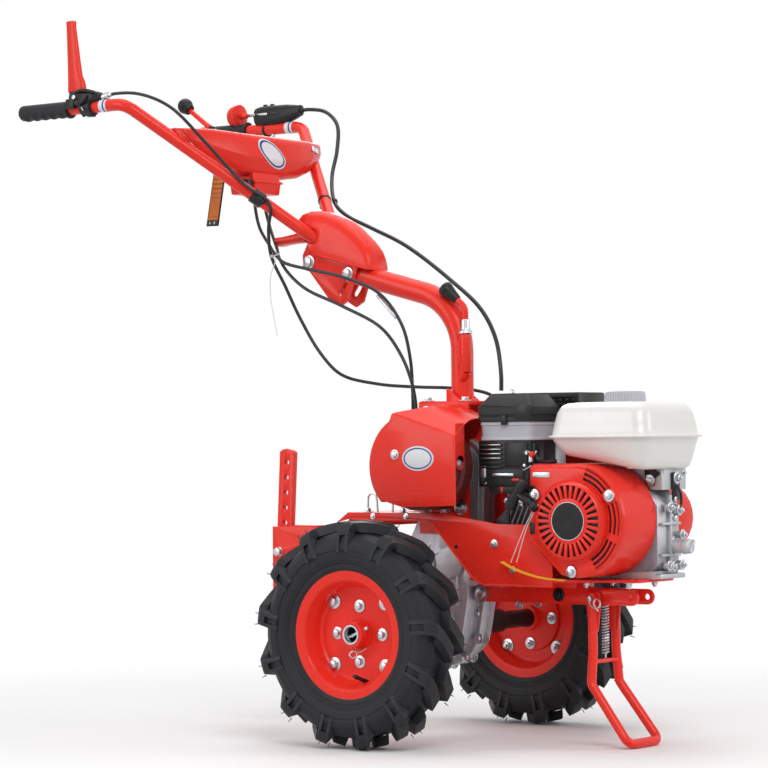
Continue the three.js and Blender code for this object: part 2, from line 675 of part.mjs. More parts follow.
function starterGrip() {
  const x = recoilBase - 12;
  const place = (y, z) => v3(x, CRANK_Y + y, CRANK_Z + z);
  return join(
    rod(place(94, 72), place(129, 21), GRIP_HANDLE_RADIUS, 12),
    rod(place(67, 20.6), place(110, 46), 6, 10),
  );
}
add('starter_grip', starterGrip(), BLACK_PLASTIC());

function tank() {
  const plan = (inset, radius) => roundedRect(TANK_WIDTH - 2 * inset, TANK_LENGTH - 2 * inset, radius);
  const ring = (inset, radius, z, slope = 0) => plan(inset, radius).map(([x, y]) =>
    v3(TANK_X + x, TANK_Y + y, z + slope * y));
  return loft([
    ring(28, 18, TANK_BOTTOM_Z, TANK_FLOOR_SLOPE), ring(16, 26, TANK_BOTTOM_Z + 9, TANK_FLOOR_SLOPE),
    ring(6, 26, TANK_SEAM_Z - 4), ring(0, 30, TANK_SEAM_Z - 2), ring(0, 30, TANK_SEAM_Z + 2),
    ring(6, 26, TANK_SEAM_Z + 4), ring(15, 26, TANK_TOP_Z - 14), ring(23, 22, TANK_TOP_Z - 4),
    ring(38, 16, TANK_TOP_Z),
  ]);
}
add('fuel_tank', tank(), TANK_WHITE());
add('fuel_cap', rod(v3(TANK_X, TANK_Y, TANK_TOP_Z + FIT), v3(TANK_X, TANK_Y, TANK_TOP_Z + CAP_HEIGHT), CAP_RADIUS, 24),
  GREY_PLASTIC());

const fillerZ = ENGINE_BASE_Z + OIL_FILLER_HEIGHT;
add('oil_filler', rod(v3(OIL_FILLER_X, CRANKCASE_FRONT_Y - FIT, fillerZ), v3(OIL_FILLER_X, FRONT_Y, fillerZ),
  OIL_FILLER_RADIUS, 14), CASTING());

function airRing(inset, z) {
  const [x0, x1] = AIR_X;
  const [y0, y1] = AIR_Y;
  return roundedRect(x1 - x0 - 2 * inset, y1 - y0 - 2 * inset, 12, 3)
    .map(([x, y]) => v3((x0 + x1) / 2 + x, (y0 + y1) / 2 + y, z));
}
add('air_cleaner_cap', loft([airRing(0, AIR_SPLIT_Z), airRing(0, AIR_TOP_Z - 16), airRing(16, AIR_TOP_Z)]),
  BLACK_PLASTIC());
add('air_cleaner_body', loft([airRing(3, AIR_BOTTOM_Z), airRing(3, AIR_SPLIT_Z - FIT)]), GREY_PLASTIC());
add('control_box', box(...CONTROL_BOX_X, AIR_Y[0] + 6, AIR_Y[1] - 2, CONTROL_BOX_Z, AIR_BOTTOM_Z - FIT), BLACK_PLASTIC());

// Muffler over the cylinder head, inside a sheet guard that is open below.
function mufflerGuard() {
  const reach = MUFFLER_RADIUS + FIT;
  const [y0, y1] = MUFFLER_Y;
  const low = MUFFLER_Z - MUFFLER_RADIUS;
  const top = MUFFLER_Z + reach;
  return cut(
    box(MUFFLER_X - reach - GUARD_SHEET, MUFFLER_X + reach + GUARD_SHEET, y0 - 4, y1 + 4, low, top + GUARD_SHEET),
    box(MUFFLER_X - reach, MUFFLER_X + reach, y0 - 4 + GUARD_SHEET, y1 + 4 - GUARD_SHEET, low - 10, top),
  );
}
add('muffler_guard', mufflerGuard(), BLACK_PLASTIC());
const alongMuffler = (y) => v3(MUFFLER_X, y, MUFFLER_Z);
add('muffler', cut(
  rod(alongMuffler(MUFFLER_Y[0]), alongMuffler(MUFFLER_Y[1]), MUFFLER_RADIUS, 20),
  rod(alongMuffler(MUFFLER_Y[0] + 3), alongMuffler(MUFFLER_Y[1] - 3), MUFFLER_RADIUS - 3, 20),
  rod(alongMuffler(MUFFLER_Y[1] - 10), alongMuffler(MUFFLER_Y[1] + 10), 12, 12),
), CASTING());

// ---------------------------------------------------------------- belt drive
// Capsule round the engine pulley and the gearbox input shaft.
function driveCoverOutline(inset) {
  const front = ENGINE_PULLEY_RADIUS + 10 - inset;
  const rear = PULLEY_RADIUS + COVER_CLEARANCE - inset;
  const dy = SHAFT_Y - CRANK_Y;
  const dz = SHAFT_Z - CRANK_Z;
  const lean = Math.atan2(dz, dy);
  const flare = Math.asin((rear - front) / Math.hypot(dy, dz));
  const shape = new THREE.Shape();
  shape.absarc(SHAFT_Y, SHAFT_Z, rear, lean - Math.PI / 2 - flare, lean + Math.PI / 2 + flare, false);
  shape.absarc(CRANK_Y, CRANK_Z, front, lean + Math.PI / 2 + flare, lean + 1.5 * Math.PI - flare, false);
  shape.closePath();
  return shape;
}
function driveCover() {
  const inner = COVER_OUTER_X - DRIVE_COVER_WIDTH;
  return cut(
    plateYZ(driveCoverOutline(0), inner, COVER_OUTER_X),
    plateYZ(driveCoverOutline(COVER_WALL), inner + COVER_WALL, COVER_OUTER_X - COVER_WALL),
    crossRod(inner - 10, inner + 10, CRANK_Y, CRANK_Z, 20, 20),
    crossRod(inner - 10, inner + 10, SHAFT_Y, SHAFT_Z, SHAFT_RADIUS + FIT, 16),
  );
}
add('drive_cover', driveCover(), RED());

// Sheave of the power take-off, with its shaft end.
function ptoPulley() {
  const half = PULLEY_WIDTH / 2;
  const groove = PULLEY_WIDTH / GROOVE_COUNT;
  const rim = [];
  for (let i = 0; i < GROOVE_COUNT; i += 1) {
    const start = -half + i * groove;
    rim.push([start + 3, PULLEY_RADIUS], [start + groove / 2, PULLEY_RADIUS - GROOVE_DEPTH]);
    rim.push([start + groove - 3, PULLEY_RADIUS]);
  }
  const rimInner = PULLEY_RADIUS - GROOVE_DEPTH - 8;
  return turned([
    [BRACKET_X + BRACKET_SHEET + FIT - PULLEY_X, 0],
    [BRACKET_X + BRACKET_SHEET + FIT - PULLEY_X, 26],
    [-6, 26], [-6, rimInner], [-half, rimInner],
    [-half, PULLEY_RADIUS], ...rim,
    [half, PULLEY_RADIUS], [half, rimInner], [6, rimInner], [6, 26], [half, 26], [half, 0],
  ], 20);
}
add('pto_pulley', mirrored(ptoPulley().translate(PULLEY_X, SHAFT_Y, SHAFT_Z), -1), DARK_RED());

// D-shaped sheet cover of the sheave: round at the back, open at the front and below.
function ptoCoverOutline(inset) {
  const radius = PULLEY_RADIUS + COVER_CLEARANCE - inset;
  const front = SHAFT_Y - PULLEY_RADIUS - COVER_CLEARANCE;
  const shape = new THREE.Shape();
  shape.moveTo(front - 4 * inset, SHAFT_Z - PULLEY_RADIUS + 9 + inset);
  shape.lineTo(SHAFT_Y + 20, SHAFT_Z - PULLEY_RADIUS + 6 + inset);
  shape.absarc(SHAFT_Y, SHAFT_Z, radius, -0.75, 1.25, false);
  shape.lineTo(SHAFT_Y - 30, SHAFT_Z + PULLEY_RADIUS + 30 - inset);
  shape.lineTo(front - 4 * inset, SHAFT_Z + PULLEY_RADIUS + 4 - inset);
  shape.closePath();
  return shape;
}
function ptoCover() {
  return cut(
    plateYZ(ptoCoverOutline(0), COVER_INNER_X, COVER_OUTER_X),
    plateYZ(ptoCoverOutline(COVER_WALL), COVER_INNER_X - 10, COVER_OUTER_X - COVER_WALL),
    box(0, COVER_OUTER_X - COVER_WALL, SHAFT_Y - 2 * PULLEY_RADIUS, SHAFT_Y + 55,
      SHAFT_Z - 2 * PULLEY_RADIUS, SHAFT_Z - PULLEY_RADIUS + 22),
  );
}
add('pto_cover', mirrored(ptoCover(), -1), RED());

// ---------------------------------------------------------------- steering column
function columnBracket() {
  const outer = BRACKET_X + BRACKET_SHEET;
  const cheek = (side) => plateYZ(
    [[-82, DECK_Z - 40], [30, DECK_Z - 40], [30, COLUMN_BASE_Z - 6], [-82, COLUMN_BASE_Z - 6]],
    Math.min(side * BRACKET_X, side * outer), Math.max(side * BRACKET_X, side * outer),
    [[SHAFT_Y, SHAFT_Z, SHAFT_RADIUS + 10]],
  );
  return join(cheek(-1), cheek(1), box(-outer, outer, -82, 30, COLUMN_BASE_Z - 6 - 0.01, COLUMN_BASE_Z));
}
add('column_bracket', columnBracket(), RED());

const slope = COLUMN_SLOPE * Math.PI / 180;
const cornerZ = PIVOT_Z - (PIVOT_Y - COLUMN_Y) * Math.tan(slope);
const clampY = PIVOT_Y - CLAMP_REACH * Math.cos(slope);
const clampZ = PIVOT_Z - CLAMP_REACH * Math.sin(slope);
function steeringColumn() {
  const foot = v3(0, COLUMN_Y, COLUMN_BASE_Z + FIT);
  const corner = v3(0, COLUMN_Y, cornerZ);
  const end = v3(0, PIVOT_Y + 20 * Math.cos(slope), PIVOT_Z + 20 * Math.sin(slope));
  const tube = bentTube([foot, corner, end], COLUMN_BEND_RADIUS, COLUMN_RADIUS, COLUMN_WALL, 16, 6);
  const post = rod(v3(POST_X, POST_Y, COLUMN_BASE_Z + 55), v3(POST_X, POST_Y, POST_TOP_Z), POST_RADIUS, 14);
  const outerTube = bentTube([foot, corner, end], COLUMN_BEND_RADIUS, COLUMN_RADIUS - COLUMN_WALL / 2, 0, 16, 6);
  return cut(join(tube, cut(post, outerTube)),
    crossRod(-60, 60, PIVOT_Y, PIVOT_Z, PIVOT_BOLT_RADIUS + FIT, 12),
    crossRod(-60, 60, clampY, clampZ, CLAMP_BOLT_RADIUS + FIT, 12));
}
add('steering_column', steeringColumn(), RED());

const boltHalf = PLATE_X + BRACKET_PLATE + 9;
add('pivot_bolt', crossRod(-boltHalf, boltHalf, PIVOT_Y, PIVOT_Z, PIVOT_BOLT_RADIUS, 12), ZINC());
add('clamp_bolt', crossRod(-boltHalf, boltHalf, clampY, clampZ, CLAMP_BOLT_RADIUS, 12), ZINC());

// Power take-off lever on the post.
const leverCorner = v3(POST_X, POST_Y, POST_TOP_Z + 44);
const leverEnd = v3(POST_X, POST_Y + 17, POST_TOP_Z + 58);
const leverLine = leverEnd.clone().sub(leverCorner).normalize();
add('pto_lever', bentTube([v3(POST_X, POST_Y, POST_TOP_Z + FIT), leverCorner, leverEnd], 20, PTO_LEVER_RADIUS, 0, 10, 3), RED());
add('pto_knob', rod(leverEnd.clone().addScaledVector(leverLine, FIT), leverEnd.clone().addScaledVector(leverLine, PTO_KNOB_LENGTH),
  8, 16, 13), BLACK_PLASTIC());

// ---------------------------------------------------------------- handlebar
const slotStart = Math.PI + slope;
const slotSweep = CLAMP_SLOT_ANGLE * Math.PI / 180;
function bracketPlate(side) {
  const clear = CLAMP_BOLT_RADIUS + FIT;
  const outline = [
    [PIVOT_Y + 2, PIVOT_Z + 40], [PIVOT_Y + 16, PIVOT_Z + 14], [PIVOT_Y + 16, PIVOT_Z - 6], [PIVOT_Y, PIVOT_Z - 18],
    [PIVOT_Y - 46, PIVOT_Z - 72], [PIVOT_Y - 74, PIVOT_Z - 88], [PIVOT_Y - 92, PIVOT_Z - 78],
    [PIVOT_Y - 116, PIVOT_Z - 14], [PIVOT_Y - 112, PIVOT_Z + 10], [PIVOT_Y - 60, PIVOT_Z + 44],
    [PIVOT_Y - 4, PIVOT_Z + 72],
  ];
  const x0 = side < 0 ? -PLATE_X - BRACKET_PLATE : PLATE_X;
  const shape = counterclockwise(outline);
  const slot = new THREE.Path();
  const at = (radius, angle) => [PIVOT_Y + radius * Math.cos(angle), PIVOT_Z + radius * Math.sin(angle)];
  slot.absarc(PIVOT_Y, PIVOT_Z, CLAMP_REACH + clear, slotStart, slotStart + slotSweep, false);
  slot.absarc(...at(CLAMP_REACH, slotStart + slotSweep), clear, slotStart + slotSweep, slotStart + slotSweep + Math.PI, false);
  slot.absarc(PIVOT_Y, PIVOT_Z, CLAMP_REACH - clear, slotStart + slotSweep, slotStart, true);
  slot.absarc(...at(CLAMP_REACH, slotStart), clear, slotStart + Math.PI, slotStart + 2 * Math.PI, false);
  shape.holes.push(slot);
  return plateYZ(shape, x0, x0 + BRACKET_PLATE, [[PIVOT_Y, PIVOT_Z, PIVOT_BOLT_RADIUS + FIT]]);
}

function handleRoute(side) {
  const x = side * HANDLE_X;
  return [
    v3(side * (PLATE_X - 4), HANDLE_ROOT_Y, HANDLE_ROOT_Z), v3(x, HANDLE_BEND_Y, HANDLE_Z), v3(x * 0.985, HANDLE_END_Y - GRIP_LENGTH / 2, HANDLE_Z),
  ];
}
function handleTube(side) {
  const tube = bentTube(handleRoute(side), 45, HANDLE_TUBE_RADIUS, HANDLE_TUBE_WALL, 14, 5);
  const edge = PLATE_X + BRACKET_PLATE + FIT;
  return cut(tube, box(-edge, edge, 150, 350, 600, 850));
}
function grip(side) {
  const [, bend, end] = handleRoute(side);
  const along = end.clone().sub(bend).normalize();
  const start = end.clone().addScaledVector(along, -GRIP_LENGTH / 2);
  const finish = end.clone().addScaledVector(along, GRIP_LENGTH / 2);
  const bore = rod(start.clone().addScaledVector(along, -5), end.clone().addScaledVector(along, FIT), HANDLE_TUBE_RADIUS + FIT, 14);
  return cut(rod(start, finish, GRIP_RADIUS, 18), bore);
}
// Helmet-shaped sheet cover over the bracket plates, open below.
const HELMET_HALF = 36;
function helmetOutline(inset) {
  const base = 24 / Math.cos(slope);
  const lip = (y) => PIVOT_Z + base + (y - PIVOT_Y) * Math.tan(slope) - 30 * (inset > 0 ? 1 : 0);
  return [
    [161 + inset, lip(161)], [294, lip(294)], [310, 745 + inset - 14], [345 - inset, 760], [338 - inset, 780 - inset],
    [312, 792 - inset], [273, 789 - inset], [226, 770 - inset], [190, 740 - inset], [161 + inset, 697 - inset],
  ];
}
function bracketCover() {
  const tubes = [-1, 1].map((side) => bentTube(handleRoute(side), 45, HANDLE_TUBE_RADIUS + FIT, 0, 14, 5));
  const shell = cut(
    plateYZ(helmetOutline(0), -HELMET_HALF, HELMET_HALF),
    plateYZ(helmetOutline(COVER_WALL), COVER_WALL - HELMET_HALF, HELMET_HALF - COVER_WALL),
  );
  return cut(shell, ...tubes);
}

for (const [name, side] of SIDES) {
  add(`bracket_plate_${name}`, bracketPlate(side), RED());
  add(`handle_tube_${name}`, handleTube(side), RED());
  add(`grip_${name}`, grip(side), RUBBER());
}
add('bracket_cover', bracketCover(), RED());

// Clutch lever and its perch, on the right tube.
const PERCH_TOP_Z = HANDLE_Z + 30;
function clutchPerch() {
  const body = box(-HANDLE_X - 17, -HANDLE_X + 17, 612, 690, HANDLE_Z - 16, PERCH_TOP_Z);
  const tube = bentTube(handleRoute(-1), 45, HANDLE_TUBE_RADIUS + FIT, 0, 14, 5);
  return cut(body, tube);
}
add('clutch_perch', clutchPerch(), BLACK_PLASTIC());
add('clutch_lever', loft([
  [0, 676, 692, 7], [60, 684, 696, 6], [140, 689, 700, 4],
].map(([rise, y0, y1, half]) => roundedRect(2 * half, y1 - y0, 3, 2)
  .map(([x, y]) => v3(-HANDLE_X + x, (y0 + y1) / 2 + y, PERCH_TOP_Z + FIT + rise)))), RED());

// Throttle on the left tube.
const THROTTLE_Z = HANDLE_Z + 40;
const tubeTop = HANDLE_Z + HANDLE_TUBE_RADIUS + FIT;
add('throttle_housing', loft([
  [556, 9, THROTTLE_Z - 14, THROTTLE_Z + 2], [590, 15, tubeTop, THROTTLE_Z + 14], [640, 17, tubeTop, THROTTLE_Z + 17],
  [672, 15, tubeTop, THROTTLE_Z + 14], [680, 11, THROTTLE_Z - 14, THROTTLE_Z + 10],
].map(([y, halfX, z0, z1]) => roundedRect(2 * halfX, z1 - z0, 7, 2)
  .map(([x, z]) => v3(HANDLE_X + x, y, (z0 + z1) / 2 + z)))), BLACK_PLASTIC());
function throttleKnob() {
  const along = (y) => v3(HANDLE_X, y, THROTTLE_Z);
  return join(
    rod(along(680 + FIT), along(726), 3.5, 10),
    rod(along(718), along(730), 14, 18, 22),
    rod(along(730), along(742), 22, 18, 12),
  );
}
add('throttle_knob', throttleKnob(), RED());

// Moulded console between the two handle tubes.
const CONSOLE_SECTIONS = [
  [-212, 462, 512, 916, 950], [-150, 440, 532, 893, 954], [-60, 424, 540, 868, 953],
  [60, 420, 540, 863, 952], [150, 432, 532, 882, 952], [212, 456, 512, 914, 949],
];
function consoleRing([x, y0, y1, z0, z1], inset) {
  return roundedRect(y1 - y0 - 2 * inset, z1 - z0 - 2 * inset, Math.min(15, (z1 - z0) / 2 - 3 - inset), 3)
    .map(([y, z]) => v3(x - Math.sign(x) * inset, (y0 + y1) / 2 + y, (z0 + z1) / 2 + z));
}
function consoleUnderside(x) {
  const next = CONSOLE_SECTIONS.findIndex((section) => section[0] > x);
  const [a, b] = [CONSOLE_SECTIONS[next - 1], CONSOLE_SECTIONS[next]];
  return a[3] + (b[3] - a[3]) * (x - a[0]) / (b[0] - a[0]);
}
function consoleShell() {
  const hollow = loft(CONSOLE_SECTIONS.map((section) => consoleRing(section, COVER_WALL)));
  const tubes = [-1, 1].map((side) => bentTube(handleRoute(side), 45, HANDLE_TUBE_RADIUS + FIT, 0, 14, 5));
  const shell = cut(
    loft(CONSOLE_SECTIONS.map((section) => consoleRing(section, 0))),
    hollow, ...tubes,
    box(-150, 150, 505, 560, 890, 935),
  );
  return join(shell, box(-42, 42, 425, 492, 831, 865));
}
add('console_shell', consoleShell(), RED());

// Gear lever with its ball, through the console's top.
const GEAR_X = -95;
add('gear_lever', rod(v3(GEAR_X, 493, 957.6), v3(GEAR_X, 544, 996), 5, 12), RED());
add('gear_knob', new THREE.SphereGeometry(15.5, 14, 10).translate(GEAR_X, 556.5, 1005.6), BLACK_PLASTIC());

// Ribbed amber strip that hangs under the console.
const STRIP_X = -100;
const STRIP_THICKNESS = 3;
const STRIP_WIDTH = 46;
const STRIP_LENGTH = 112;
const stripTop = consoleUnderside(STRIP_X) - 0.5 - FIT;
add('hanging_strip', box(STRIP_X - STRIP_THICKNESS / 2, STRIP_X + STRIP_THICKNESS / 2,
  462, 462 + STRIP_WIDTH, stripTop - STRIP_LENGTH, stripTop), AMBER());

// ---------------------------------------------------------------- cables
const CABLE_ROUTES = {
  clutch_cable: [3.2, 30, [
    [-278, 611, 1012], [-277, 590, 1016], [-270, 533, 1016], [-258, 474, 992], [-212, 432, 922], [-170, 402, 866],
    [-151, 390, 833], [-122, 376, 801], [-96, 364, 752], [-76, 360, 704], [-58, 340, 645], [-42, 318, 585], [-26, 280, 515],
    [-14, 240, 474], [8, 170, 455], [26, 90, 448], [38, 20, 445], [52, -26, 440], [68, -52, 430], [82, -64, 410],
    [95, -66, 381], [111.6, -66, 380],
  ]],
  shift_cable_upper: [3.2, 26, [
    [-10, 452, 830.6], [-10, 452, 812], [-24, 430, 766], [-50, 384, 726], [-66, 360, 710], [-68, 338, 692],
    [-64, 280, 676], [-60, 200, 658], [-52, 120, 624], [-42, 76, 565], [-40, 58, 500], [-39, 54, 440], [-38, 54, 370],
    [-38, 54, 300], [-33, 46, 252], [-31, 21.8, 236],
  ]],
  shift_cable_lower: [3.2, 26, [
    [16, 448, 830.6], [16, 448, 812], [2, 424, 766], [-32, 380, 720], [-58, 354, 700], [-60, 336, 676], [-62, 290, 640],
    [-60, 200, 602], [-59, 110, 558], [-57, 66, 505], [-54, 45, 455], [-50, 39, 415], [-46, 38, 340], [-30, 40, 272],
    [-18, 34, 246], [-14, 18, 240],
  ]],
  throttle_cable: [4, 28, [
    [278, 555.5, 1029], [278, 535, 1029], [272, 500, 1022], [254, 462, 990], [226, 440, 935], [186, 424, 878],
    [142, 398, 818], [122, 345, 795], [100, 250, 762], [76, 150, 722], [50, 30, 652], [28, -58, 590],
    [8, -104, 532], [-6, -124, 470], [-7, -125, 437],
  ]],
};
for (const [name, [radius, steps, points]] of Object.entries(CABLE_ROUTES)) {
  add(name, cable(points, radius, steps), BLACK_PLASTIC());
}

// ---------------------------------------------------------------- rear hitch
const HITCH_BOLT_Y = HITCH_REAR_Y - 16;
const HITCH_BOLT_Z = HITCH_TOP_Z - 49;
function hitchBracket() {
  const gap = HITCH_GAP / 2;
  const outer = gap + HITCH_PLATE;
  const low = HITCH_TOP_Z - 108;
  const foot = -88;
  const cheek = (side) => plateYZ(
    [[300, low + 40], [300, HITCH_TOP_Z], [HITCH_REAR_Y, HITCH_TOP_Z], [HITCH_REAR_Y, foot], [HITCH_REAR_Y - 34, foot],
      [HITCH_REAR_Y - 40, low], [330, low]],
    Math.min(side * gap, side * outer), Math.max(side * gap, side * outer),
    [[HITCH_REAR_Y - 17, foot + 28, 7]],
  );
  return join(
    cheek(-1), cheek(1),
    box(-outer, outer, GEARBOX_SUMP_RADIUS + FIT, 310, HITCH_TOP_Z - 66, HITCH_TOP_Z - 26),
    box(-gap - 1, gap + 1, 300, 330, HITCH_TOP_Z - 66, HITCH_TOP_Z - 1),
    crossRod(-outer - 8, outer + 8, HITCH_BOLT_Y, HITCH_BOLT_Z, HITCH_BOLT_RADIUS, 16),
  );
}
add('hitch_bracket', hitchBracket(), RED());

// Flat bar with a row of holes, hung on the hitch bolt between the cheeks.
function depthBar() {
  const rear = HITCH_REAR_Y - 2;
  const front = rear - DEPTH_BAR_WIDTH;
  const top = DEPTH_BAR_TOP_Z;
  const half = DEPTH_BAR_THICKNESS / 2;
  const holes = Array.from({ length: DEPTH_BAR_HOLES }, (_, i) =>
    [(front + rear) / 2, top - 27 - i * DEPTH_BAR_PITCH, DEPTH_BAR_HOLE_RADIUS]);
  holes.push([HITCH_BOLT_Y, HITCH_BOLT_Z, HITCH_BOLT_RADIUS + FIT]);
  const low = HITCH_BOLT_Z - 20;
  const outline = [[front, low], [front, top - 7], [front + 8, top - 2], [(front + rear) / 2, top], [rear - 8, top - 2],
    [rear, top - 7], [rear, low]];
  return plateYZ(outline, -half, half, holes)
    .translate(0, -HITCH_BOLT_Y, -HITCH_BOLT_Z)
    .rotateX(DEPTH_BAR_LEAN * Math.PI / 180)
    .translate(0, HITCH_BOLT_Y, HITCH_BOLT_Z);
}
add('depth_bar', depthBar(), RED());

export default object;
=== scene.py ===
import json
import math

import bmesh
import bpy
from mathutils import Matrix, Vector

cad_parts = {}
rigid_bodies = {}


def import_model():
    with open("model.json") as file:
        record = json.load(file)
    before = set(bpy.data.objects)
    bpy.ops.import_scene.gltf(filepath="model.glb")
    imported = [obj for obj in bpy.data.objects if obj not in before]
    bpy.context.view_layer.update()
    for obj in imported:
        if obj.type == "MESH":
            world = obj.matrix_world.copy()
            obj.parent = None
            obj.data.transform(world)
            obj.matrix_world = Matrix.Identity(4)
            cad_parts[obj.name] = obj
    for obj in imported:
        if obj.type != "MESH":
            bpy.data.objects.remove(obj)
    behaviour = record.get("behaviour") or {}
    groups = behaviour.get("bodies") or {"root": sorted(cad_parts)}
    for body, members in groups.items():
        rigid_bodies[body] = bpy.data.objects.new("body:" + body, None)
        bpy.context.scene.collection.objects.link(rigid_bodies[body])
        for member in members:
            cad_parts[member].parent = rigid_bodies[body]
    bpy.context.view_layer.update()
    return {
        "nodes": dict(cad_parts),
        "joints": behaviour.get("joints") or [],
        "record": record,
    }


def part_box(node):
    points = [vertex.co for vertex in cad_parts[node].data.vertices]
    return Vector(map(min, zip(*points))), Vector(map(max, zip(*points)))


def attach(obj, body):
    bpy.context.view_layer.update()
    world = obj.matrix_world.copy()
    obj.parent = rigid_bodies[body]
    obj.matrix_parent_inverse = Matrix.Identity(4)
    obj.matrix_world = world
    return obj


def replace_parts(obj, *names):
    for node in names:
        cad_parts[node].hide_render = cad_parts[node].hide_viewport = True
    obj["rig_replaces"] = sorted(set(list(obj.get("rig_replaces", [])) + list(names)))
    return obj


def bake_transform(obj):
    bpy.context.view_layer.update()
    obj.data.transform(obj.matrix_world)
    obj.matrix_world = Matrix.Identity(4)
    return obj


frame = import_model()


# ---------------------------------------------------------------- places
# Sizes are in millimetres, measured from the middle of the wheel axle: +X is the machine's
# left side, +Y its rear and +Z up. at() turns such a point into one of the frame's, in metres.
MM = 0.001
JOINTS = {joint["name"]: joint for joint in frame["joints"]}
AXLE = Vector((0, *JOINTS["wheel_left_roll"]["pos_m"][1:]))
WHEEL_X = JOINTS["wheel_left_roll"]["pos_m"][0] / MM
SIDES = {"right": -1, "left": 1}


def at(x, y, z):
    return AXLE + Vector((x, y, z)) * MM


def corners(node):
    """Lowest and highest corner of a construction node, in millimetres from the axle."""
    low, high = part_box(node)
    return (low - AXLE) / MM, (high - AXLE) / MM


def middle(node):
    low, high = corners(node)
    return (low + high) / 2


# ---------------------------------------------------------------- modelling helpers
def deselect():
    bpy.ops.object.select_all(action="DESELECT")


def take(piece):
    """Makes piece the only selected object."""
    deselect()
    piece.select_set(True)
    bpy.context.view_layer.objects.active = piece
    return piece


def settled(piece, name=None):
    """Puts a piece's place, turn and scale into its mesh."""
    take(piece)
    bpy.ops.object.transform_apply(location=True, rotation=True, scale=True)
    if name:
        piece.name = name
    return piece


def modified(piece, kind, **settings):
    """Adds a modifier, sets it and applies it."""
    take(piece)
    modifier = piece.modifiers.new(kind.lower(), kind)
    for key, value in settings.items():
        setattr(modifier, key, value)
    bpy.ops.object.modifier_apply(modifier=modifier.name)
    return piece


def smooth(piece, degrees=32):
    take(piece)
    bpy.ops.object.shade_smooth_by_angle(angle=math.radians(degrees))
    return piece


def bevelled(piece, width, segments=2, degrees=35):
    modified(
        piece, "BEVEL", width=width * MM, segments=segments, limit_method="ANGLE",
        angle_limit=math.radians(degrees), use_clamp_overlap=True, miter_outer="MITER_ARC")
    return smooth(piece)


def outward(piece):
    """Merges doubles and turns every face outwards."""
    take(piece)
    bpy.ops.object.mode_set(mode="EDIT")
    bpy.ops.mesh.select_all(action="SELECT")
    bpy.ops.mesh.remove_doubles(threshold=1e-6)
    bpy.ops.mesh.normals_make_consistent(inside=False)
    bpy.ops.object.mode_set(mode="OBJECT")
    return piece


def block(name, x0, x1, y0, y1, z0, z1, bevel=1.0, segments=2):
    deselect()
    centre = at((x0 + x1) / 2, (y0 + y1) / 2, (z0 + z1) / 2)
    bpy.ops.mesh.primitive_cube_add(size=1, location=centre)
    piece = bpy.context.object
    piece.scale = Vector((abs(x1 - x0), abs(y1 - y0), abs(z1 - z0))) * MM
    settled(piece, name)
    return bevelled(piece, bevel, segments) if bevel else piece


def rod(name, start, end, radius, end_radius=None, vertices=32, bevel=0.0):
    """Round bar between two points given in millimetres."""
    a, b = at(*start), at(*end)
    deselect()
    bpy.ops.mesh.primitive_cone_add(
        vertices=vertices, radius1=radius * MM, depth=(b - a).length, location=(a + b) / 2,
        radius2=(radius if end_radius is None else end_radius) * MM,
        rotation=(b - a).to_track_quat("Z", "Y").to_euler())
    piece = settled(bpy.context.object, name)
    return bevelled(piece, bevel) if bevel else smooth(piece)


def ball(name, centre, radius):
    deselect()
    bpy.ops.mesh.primitive_uv_sphere_add(segments=32, ring_count=20, radius=radius * MM, location=at(*centre))
    return smooth(settled(bpy.context.object, name), 80)


def rounded(points, radius, closed=True, steps=5):
    """Outline of 2-D points with its corners turned into arcs of up to that radius."""
    count = len(points)
    result = []
    for i, point in enumerate(points):
        if not closed and i in (0, count - 1):
            result.append(tuple(point))
            continue
        p = Vector(point)
        before, after = Vector(points[i - 1]) - p, Vector(points[(i + 1) % count]) - p
        limit = min(before.length, after.length) * 0.48
        half = before.angle(after) / 2
        reach = min(limit, radius / max(math.tan(half), 1e-6))
        a, b = p + before.normalized() * reach, p + after.normalized() * reach
        for k in range(steps + 1):
            t = k / steps
            result.append(tuple(a * (1 - t) ** 2 + p * 2 * t * (1 - t) + b * t * t))
    return result


def ring(y, z, radius, steps=24):
    return [
        (y + radius * math.cos(i * math.tau / steps), z + radius * math.sin(i * math.tau / steps))
        for i in range(steps)]


def from_faces(name, points, faces, edges=()):
    """Piece made of points in the frame's metres, with the faces or edges between them."""
    mesh = bpy.data.meshes.new(name)
    mesh.from_pydata(points, edges, faces)
    piece = bpy.data.objects.new(name, mesh)
    bpy.context.collection.objects.link(piece)
    return piece


def strips(rows, width):
    """Faces between rows of points; a width of a row's whole count closes each row into a ring."""
    count = len(rows[0])
    return [
        (r * count + i, r * count + (i + 1) % count, (r + 1) * count + (i + 1) % count, (r + 1) * count + i)
        for r in range(len(rows) - 1) for i in range(width)]


def end_faces(rows):
    count = len(rows[0])
    return [tuple(range(count)), tuple(range((len(rows) - 1) * count, len(rows) * count))]


def turn_about(place, angle, axis, origin=(0, 0, 0)):
    """Matrix that turns a shape about origin and brings that point to place."""
    return Matrix.Translation(at(*place)) @ Matrix.Rotation(angle, 4, axis) @ Matrix.Translation(-at(*origin))


